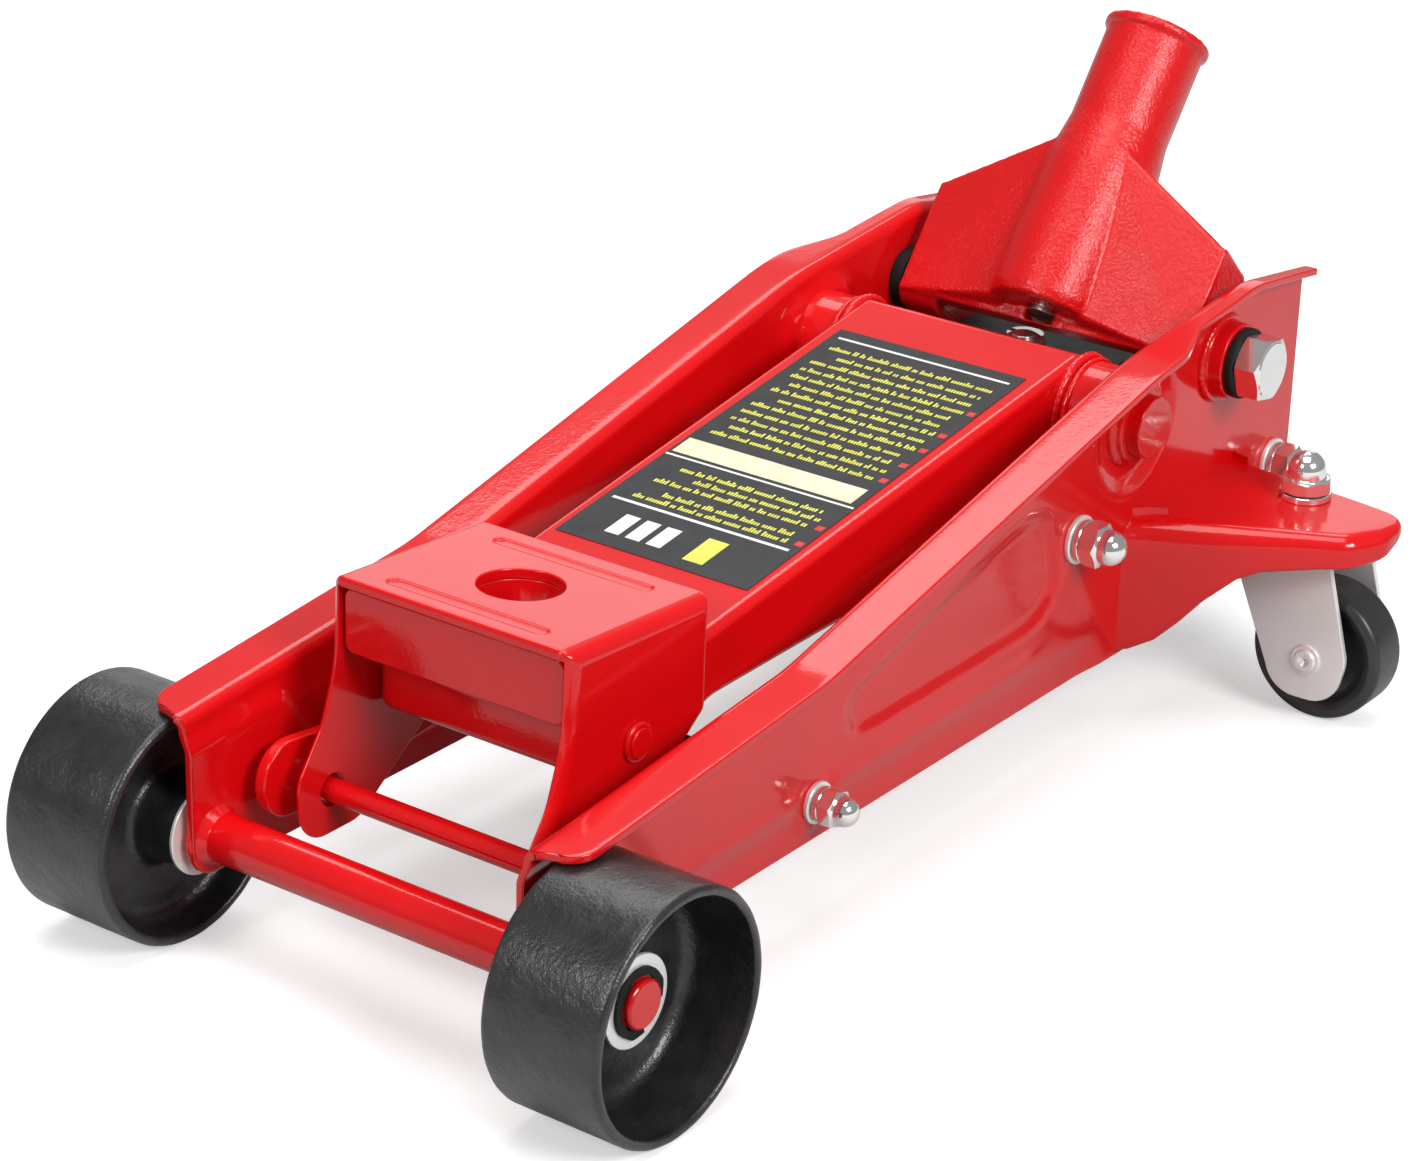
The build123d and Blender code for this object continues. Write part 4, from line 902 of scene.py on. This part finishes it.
def rating_label():
    """Printed film on the arm: ruled panels, rows of plain ticks and a blank sticker, with no lettering."""
    front, run, half, film_top, ink_t = 152, 182, 43.5, 0.3, 0.06
    lean = math.atan(ARM_SLOPE)
    origin = spot(front, 0, ARM_TOP - ARM_SLOPE * (ARM_SHAFT[0] - front))
    along = Vector((-math.cos(lean), 0, math.sin(lean)))
    across = Vector((0, 1, 0))
    out = Vector((math.sin(lean), 0, math.cos(lean)))
    length = run / math.cos(lean)
    dice = random.Random(7)

    def on_label(a, y, z):
        """A point along the label, across it and out of it."""
        return origin + along * (a * M) + across * (y * M) + out * (z * M)

    def slab(name, material, boxes, height=ink_t):
        """Thin print on the film: (from, to, right, left) boxes along and across the label."""
        points, faces = [], []
        box_faces = ((3, 2, 1, 0), (4, 5, 6, 7), (0, 1, 5, 4), (1, 2, 6, 5), (2, 3, 7, 6), (3, 0, 4, 7))
        for a0, a1, y0, y1 in boxes:
            first = len(points)
            for z in (film_top, film_top + height):
                points += [on_label(a, y, z) for a, y in ((a0, y0), (a1, y0), (a1, y1), (a0, y1))]
            faces += [tuple(first + i for i in face) for face in box_faces]
        piece = build(name, points, faces)
        piece.data.materials.append(material)
        fit_out(piece, "arm", "label")

    def line_of_ticks(at, start, end, height):
        """One printed row as short ticks of uneven height with gaps between groups."""
        ticks, y = [], start
        while y < end - 2:
            for _ in range(dice.randint(2, 8)):
                tall = height * dice.choice((0.62, 0.62, 0.7, 1.0))
                ticks.append((at, at + tall, y, y + 0.85))
                y += 1.25
                if y > end - 1:
                    break
            y += 1.1
        return ticks

    steps = 60
    points = []
    for k in range(steps + 1):
        a = length * k / steps
        for y in (-half, half):
            points += [on_label(a, y, z) for z in (0.02, film_top)]
    sides = ((0, 1), (1, 3), (3, 2), (2, 0))
    faces = [(4 * k + i, 4 * k + j, 4 * k + 4 + j, 4 * k + 4 + i) for k in range(steps) for i, j in sides]
    faces += [(0, 2, 3, 1), tuple(4 * steps + i for i in (1, 3, 2, 0))]
    fit_out(build("label_film", points, faces), "arm", "label", "rating_label")
    rows = [(34, -34, 36), (39, -24, 36), (47, -34, 36), (52.5, -20, 38), (58, -30, 36)]
    rows += [(88 + 6.6 * k, -38 + 4 * (k % 2) * (k % 3), 38) for k in range(13)]
    ticks = [t for at, start, end in rows for t in line_of_ticks(at, start, end, 3.1)]
    slab("label_rows", inks["yellow"], ticks)
    rules = [(29.5, 31.0, -40, 40), (length - 7.5, length - 6.2, -40, 40), (66.5, 67.6, -43, 43)]
    slab("label_rules", inks["white"], rules)
    blocks = [(8, 22, -27 + 9.5 * k, -20.5 + 9.5 * k) for k in range(3)]
    slab("label_blocks", inks["white"], blocks)
    slab("label_block_yellow", inks["yellow"], [(6, 23, 10, 19)])
    slab("label_sticker", inks["cream"], [(69.5, 81, -42, 40)], 0.1)
    marks = [(at + 0.2, at + 3.4, 39.2, 42.4) for at in (34, 47, 88, 101.2, 114.4, 127.6, 147.4)]
    slab("label_marks", inks["mark_red"], marks)


# -------------------- everything in its place

for side in SIDES:
    side_plate(side)
    caster_wing(side)
    front_wheel(side)
    caster_roller(side)
    caster_rivet(side)
side_fasteners()
pivot_bolts()
retaining_rings()
handle_casting()
springs()
rating_label()

# Width in millimetres of the rounded edges of the nodes shown in their own shape
edge_widths = {
    "lift_arm": 0.8, "saddle_bracket": 0.7, "head_front_panel": 0.8, "saddle_collar": 0.5,
    "link_strap_left": 0.8, "link_strap_right": 0.8, "link_cross_rod": 0.4, "arm_pin": 0.6,
    "arm_pin_rings": 0.5, "arm_sleeve": 0.6, "front_axle": 0.4, "arm_shaft": 0.7,
    "axle_washers": 0.4, "caster_fork_left": 0.5, "caster_fork_right": 0.5, "spring_hanger": 0.6,
    "hanger_bolt_and_nut": 0.5, "pump_block": 0.8, "frame_spacers": 0.3, "gland_nut": 0.5,
    "filler_plug": 0.5, "release_spindle": 0.3, "handle_coupler": 0.5, "pump_roller": 0.4,
    "link_rod_rings": 0.4, "caster_races": 0.4, "ram_head": 0.4, "ram_roller": 0.5,
    "pump_plunger": 0.4, "link_pivot_bolts": 0.4,
}
for node, width in edge_widths.items():
    refined(node, width)
# The CAD nodes that are still on show keep their mesh and take their slot's material
for node, shown in frame["nodes"].items():
    if not shown.hide_render:
        shown.data.materials.clear()
        shown.data.materials.append(looks[node_slot[node]])

# Name, (behind, up), distance to the side, radius, bead, body, ripples and seed of each pair of welds
welds = [
    ("sleeve_weld", ARM_SHAFT, 52.4, 20.6, 1.9, "arm", 40, 3),
    ("sleeve_rim_weld", ARM_SHAFT, 56.0, 20.0, 1.3, "arm", 40, 5),
    ("arm_pin_weld", ARM_PIN, 54.6, 6.2, 0.9, "head", 22, 3),
    ("handle_boss_weld", PIVOT, 78.0, 16.8, 1.7, "chassis", 40, 3),
    ("axle_weld", FRONT_AXLE, PLATE_IN - 0.6, 10.6, 1.9, "chassis", 24, 3),
]
for side, sign in SIDES.items():
    for name, (behind, up), y, radius, bead, body, ripples, seed in welds:
        centre = spot(behind, sign * y, up)
        weld_ring(f"{name}_{side}", centre, (0, sign, 0), radius, bead, body, ripples, seed)


# -------------------- floor, light, camera

def floor():
    """Pale floor that glows faintly to the camera and throws less light back onto the jack."""
    size, pale, glow = 12.0, 0.8, 0.45
    soft_grey, mirrored_grey = 0.36, 0.66
    mesh = bpy.data.meshes.new("floor")
    corners = [(-size, -size, 0), (size, -size, 0), (size, size, 0), (-size, size, 0)]
    mesh.from_pydata(corners, [], [(0, 1, 2, 3)])
    piece = bpy.data.objects.new("floor", mesh)
    bpy.context.scene.collection.objects.link(piece)
    material, shader = new_material("pale_floor", (pale, pale, pale), 0.6)
    nodes, links = material.node_tree.nodes, material.node_tree.links
    links.new(spread(material, noise(material, 3, 2), 0.55, 0.65), shader.inputs["Roughness"])
    shader.inputs["Emission Color"].default_value = (1, 1, 1, 1)
    shader.inputs["Emission Strength"].default_value = glow
    dimmed = []
    for grey in (soft_grey, mirrored_grey):
        bounce = nodes.new("ShaderNodeBsdfDiffuse")
        bounce.inputs["Color"].default_value = (grey, grey, grey, 1)
        dimmed.append(bounce.outputs["BSDF"])
    unseen = pick(material.node_tree, "Is Glossy Ray", *dimmed)
    surface = pick(material.node_tree, "Is Camera Ray", unseen, shader.outputs["BSDF"])
    links.new(surface, nodes["Material Output"].inputs["Surface"])
    mesh.materials.append(material)


def pick(tree, rays, others, chosen):
    """Shader that rays of one kind see as chosen and all other rays as others."""
    path = tree.nodes.new("ShaderNodeLightPath")
    mix = tree.nodes.new("ShaderNodeMixShader")
    tree.links.new(path.outputs[rays], mix.inputs["Fac"])
    tree.links.new(others, mix.inputs[1])
    tree.links.new(chosen, mix.inputs[2])
    return mix.outputs["Shader"]


def area_light(name, place, wide, tall, energy):
    """Soft rectangular light aimed at the jack."""
    light = bpy.data.lights.new(name, "AREA")
    light.shape = "RECTANGLE"
    light.size, light.size_y = wide, tall
    light.energy = energy
    lamp = bpy.data.objects.new(name, light)
    lamp.location = place
    lamp.rotation_euler = (LIT_POINT - Vector(place)).to_track_quat("-Z", "Y").to_euler()
    bpy.context.scene.collection.objects.link(lamp)


def world():
    """White studio backdrop that lights the object more gently than it looks."""
    seen_strength, lighting_strength = 1.0, 0.23
    surroundings = bpy.data.worlds.new("studio")
    surroundings.use_nodes = True
    tree = surroundings.node_tree
    backdrop = tree.nodes["Background"]
    backdrop.inputs["Color"].default_value = (1, 1, 1, 1)
    backdrop.inputs["Strength"].default_value = seen_strength
    dim = tree.nodes.new("ShaderNodeBackground")
    dim.inputs["Color"].default_value = (1, 1, 1, 1)
    dim.inputs["Strength"].default_value = lighting_strength
    surface = pick(tree, "Is Camera Ray", dim.outputs["Background"], backdrop.outputs["Background"])
    tree.links.new(surface, tree.nodes["World Output"].inputs["Surface"])
    bpy.context.scene.world = surroundings


def camera():
    """Camera at the left front, looking down on the jack."""
    azimuth, elevation, roll = math.radians(125.96), math.radians(23.54), math.radians(1.56)
    stand, focal_length = (1.10290, 0.76602, 0.66751), 98.35
    level = math.cos(elevation)
    forward = Vector((-math.sin(azimuth) * level, math.cos(azimuth) * level, -math.sin(elevation)))
    right = forward.cross(UP).normalized()
    up = right.cross(forward)
    rolled_right = right * math.cos(roll) + up * math.sin(roll)
    rolled_up = up * math.cos(roll) - right * math.sin(roll)
    data = bpy.data.cameras.new("camera")
    data.sensor_width = 36.0
    data.lens = focal_length
    data.clip_start = 0.05
    place = bpy.data.objects.new("camera", data)
    turn = Matrix((rolled_right, rolled_up, -forward)).transposed().to_4x4()
    place.matrix_world = Matrix.Translation(stand) @ turn
    bpy.context.scene.collection.objects.link(place)
    bpy.context.scene.camera = place


floor()
world()
# Name, place, width, height and power of each light
lights = [
    ("overhead", (0.2, 0.1, 2.0), 1.2, 1.2, 17),
    ("back_softbox", (-1.55, -1.3, 2.7), 2.2, 1.15, 26),
    ("back_low", (-2.1, -1.3, 0.9), 2.0, 0.8, 5),
    ("side_key", (0.5, 2.0, 1.5), 1.0, 0.7, 39),
    ("front_fill", (2.2, -0.5, 1.5), 0.9, 0.7, 20),
]
for light in lights:
    area_light(*light)
bpy.context.scene.view_settings.view_transform = "Standard"
camera()
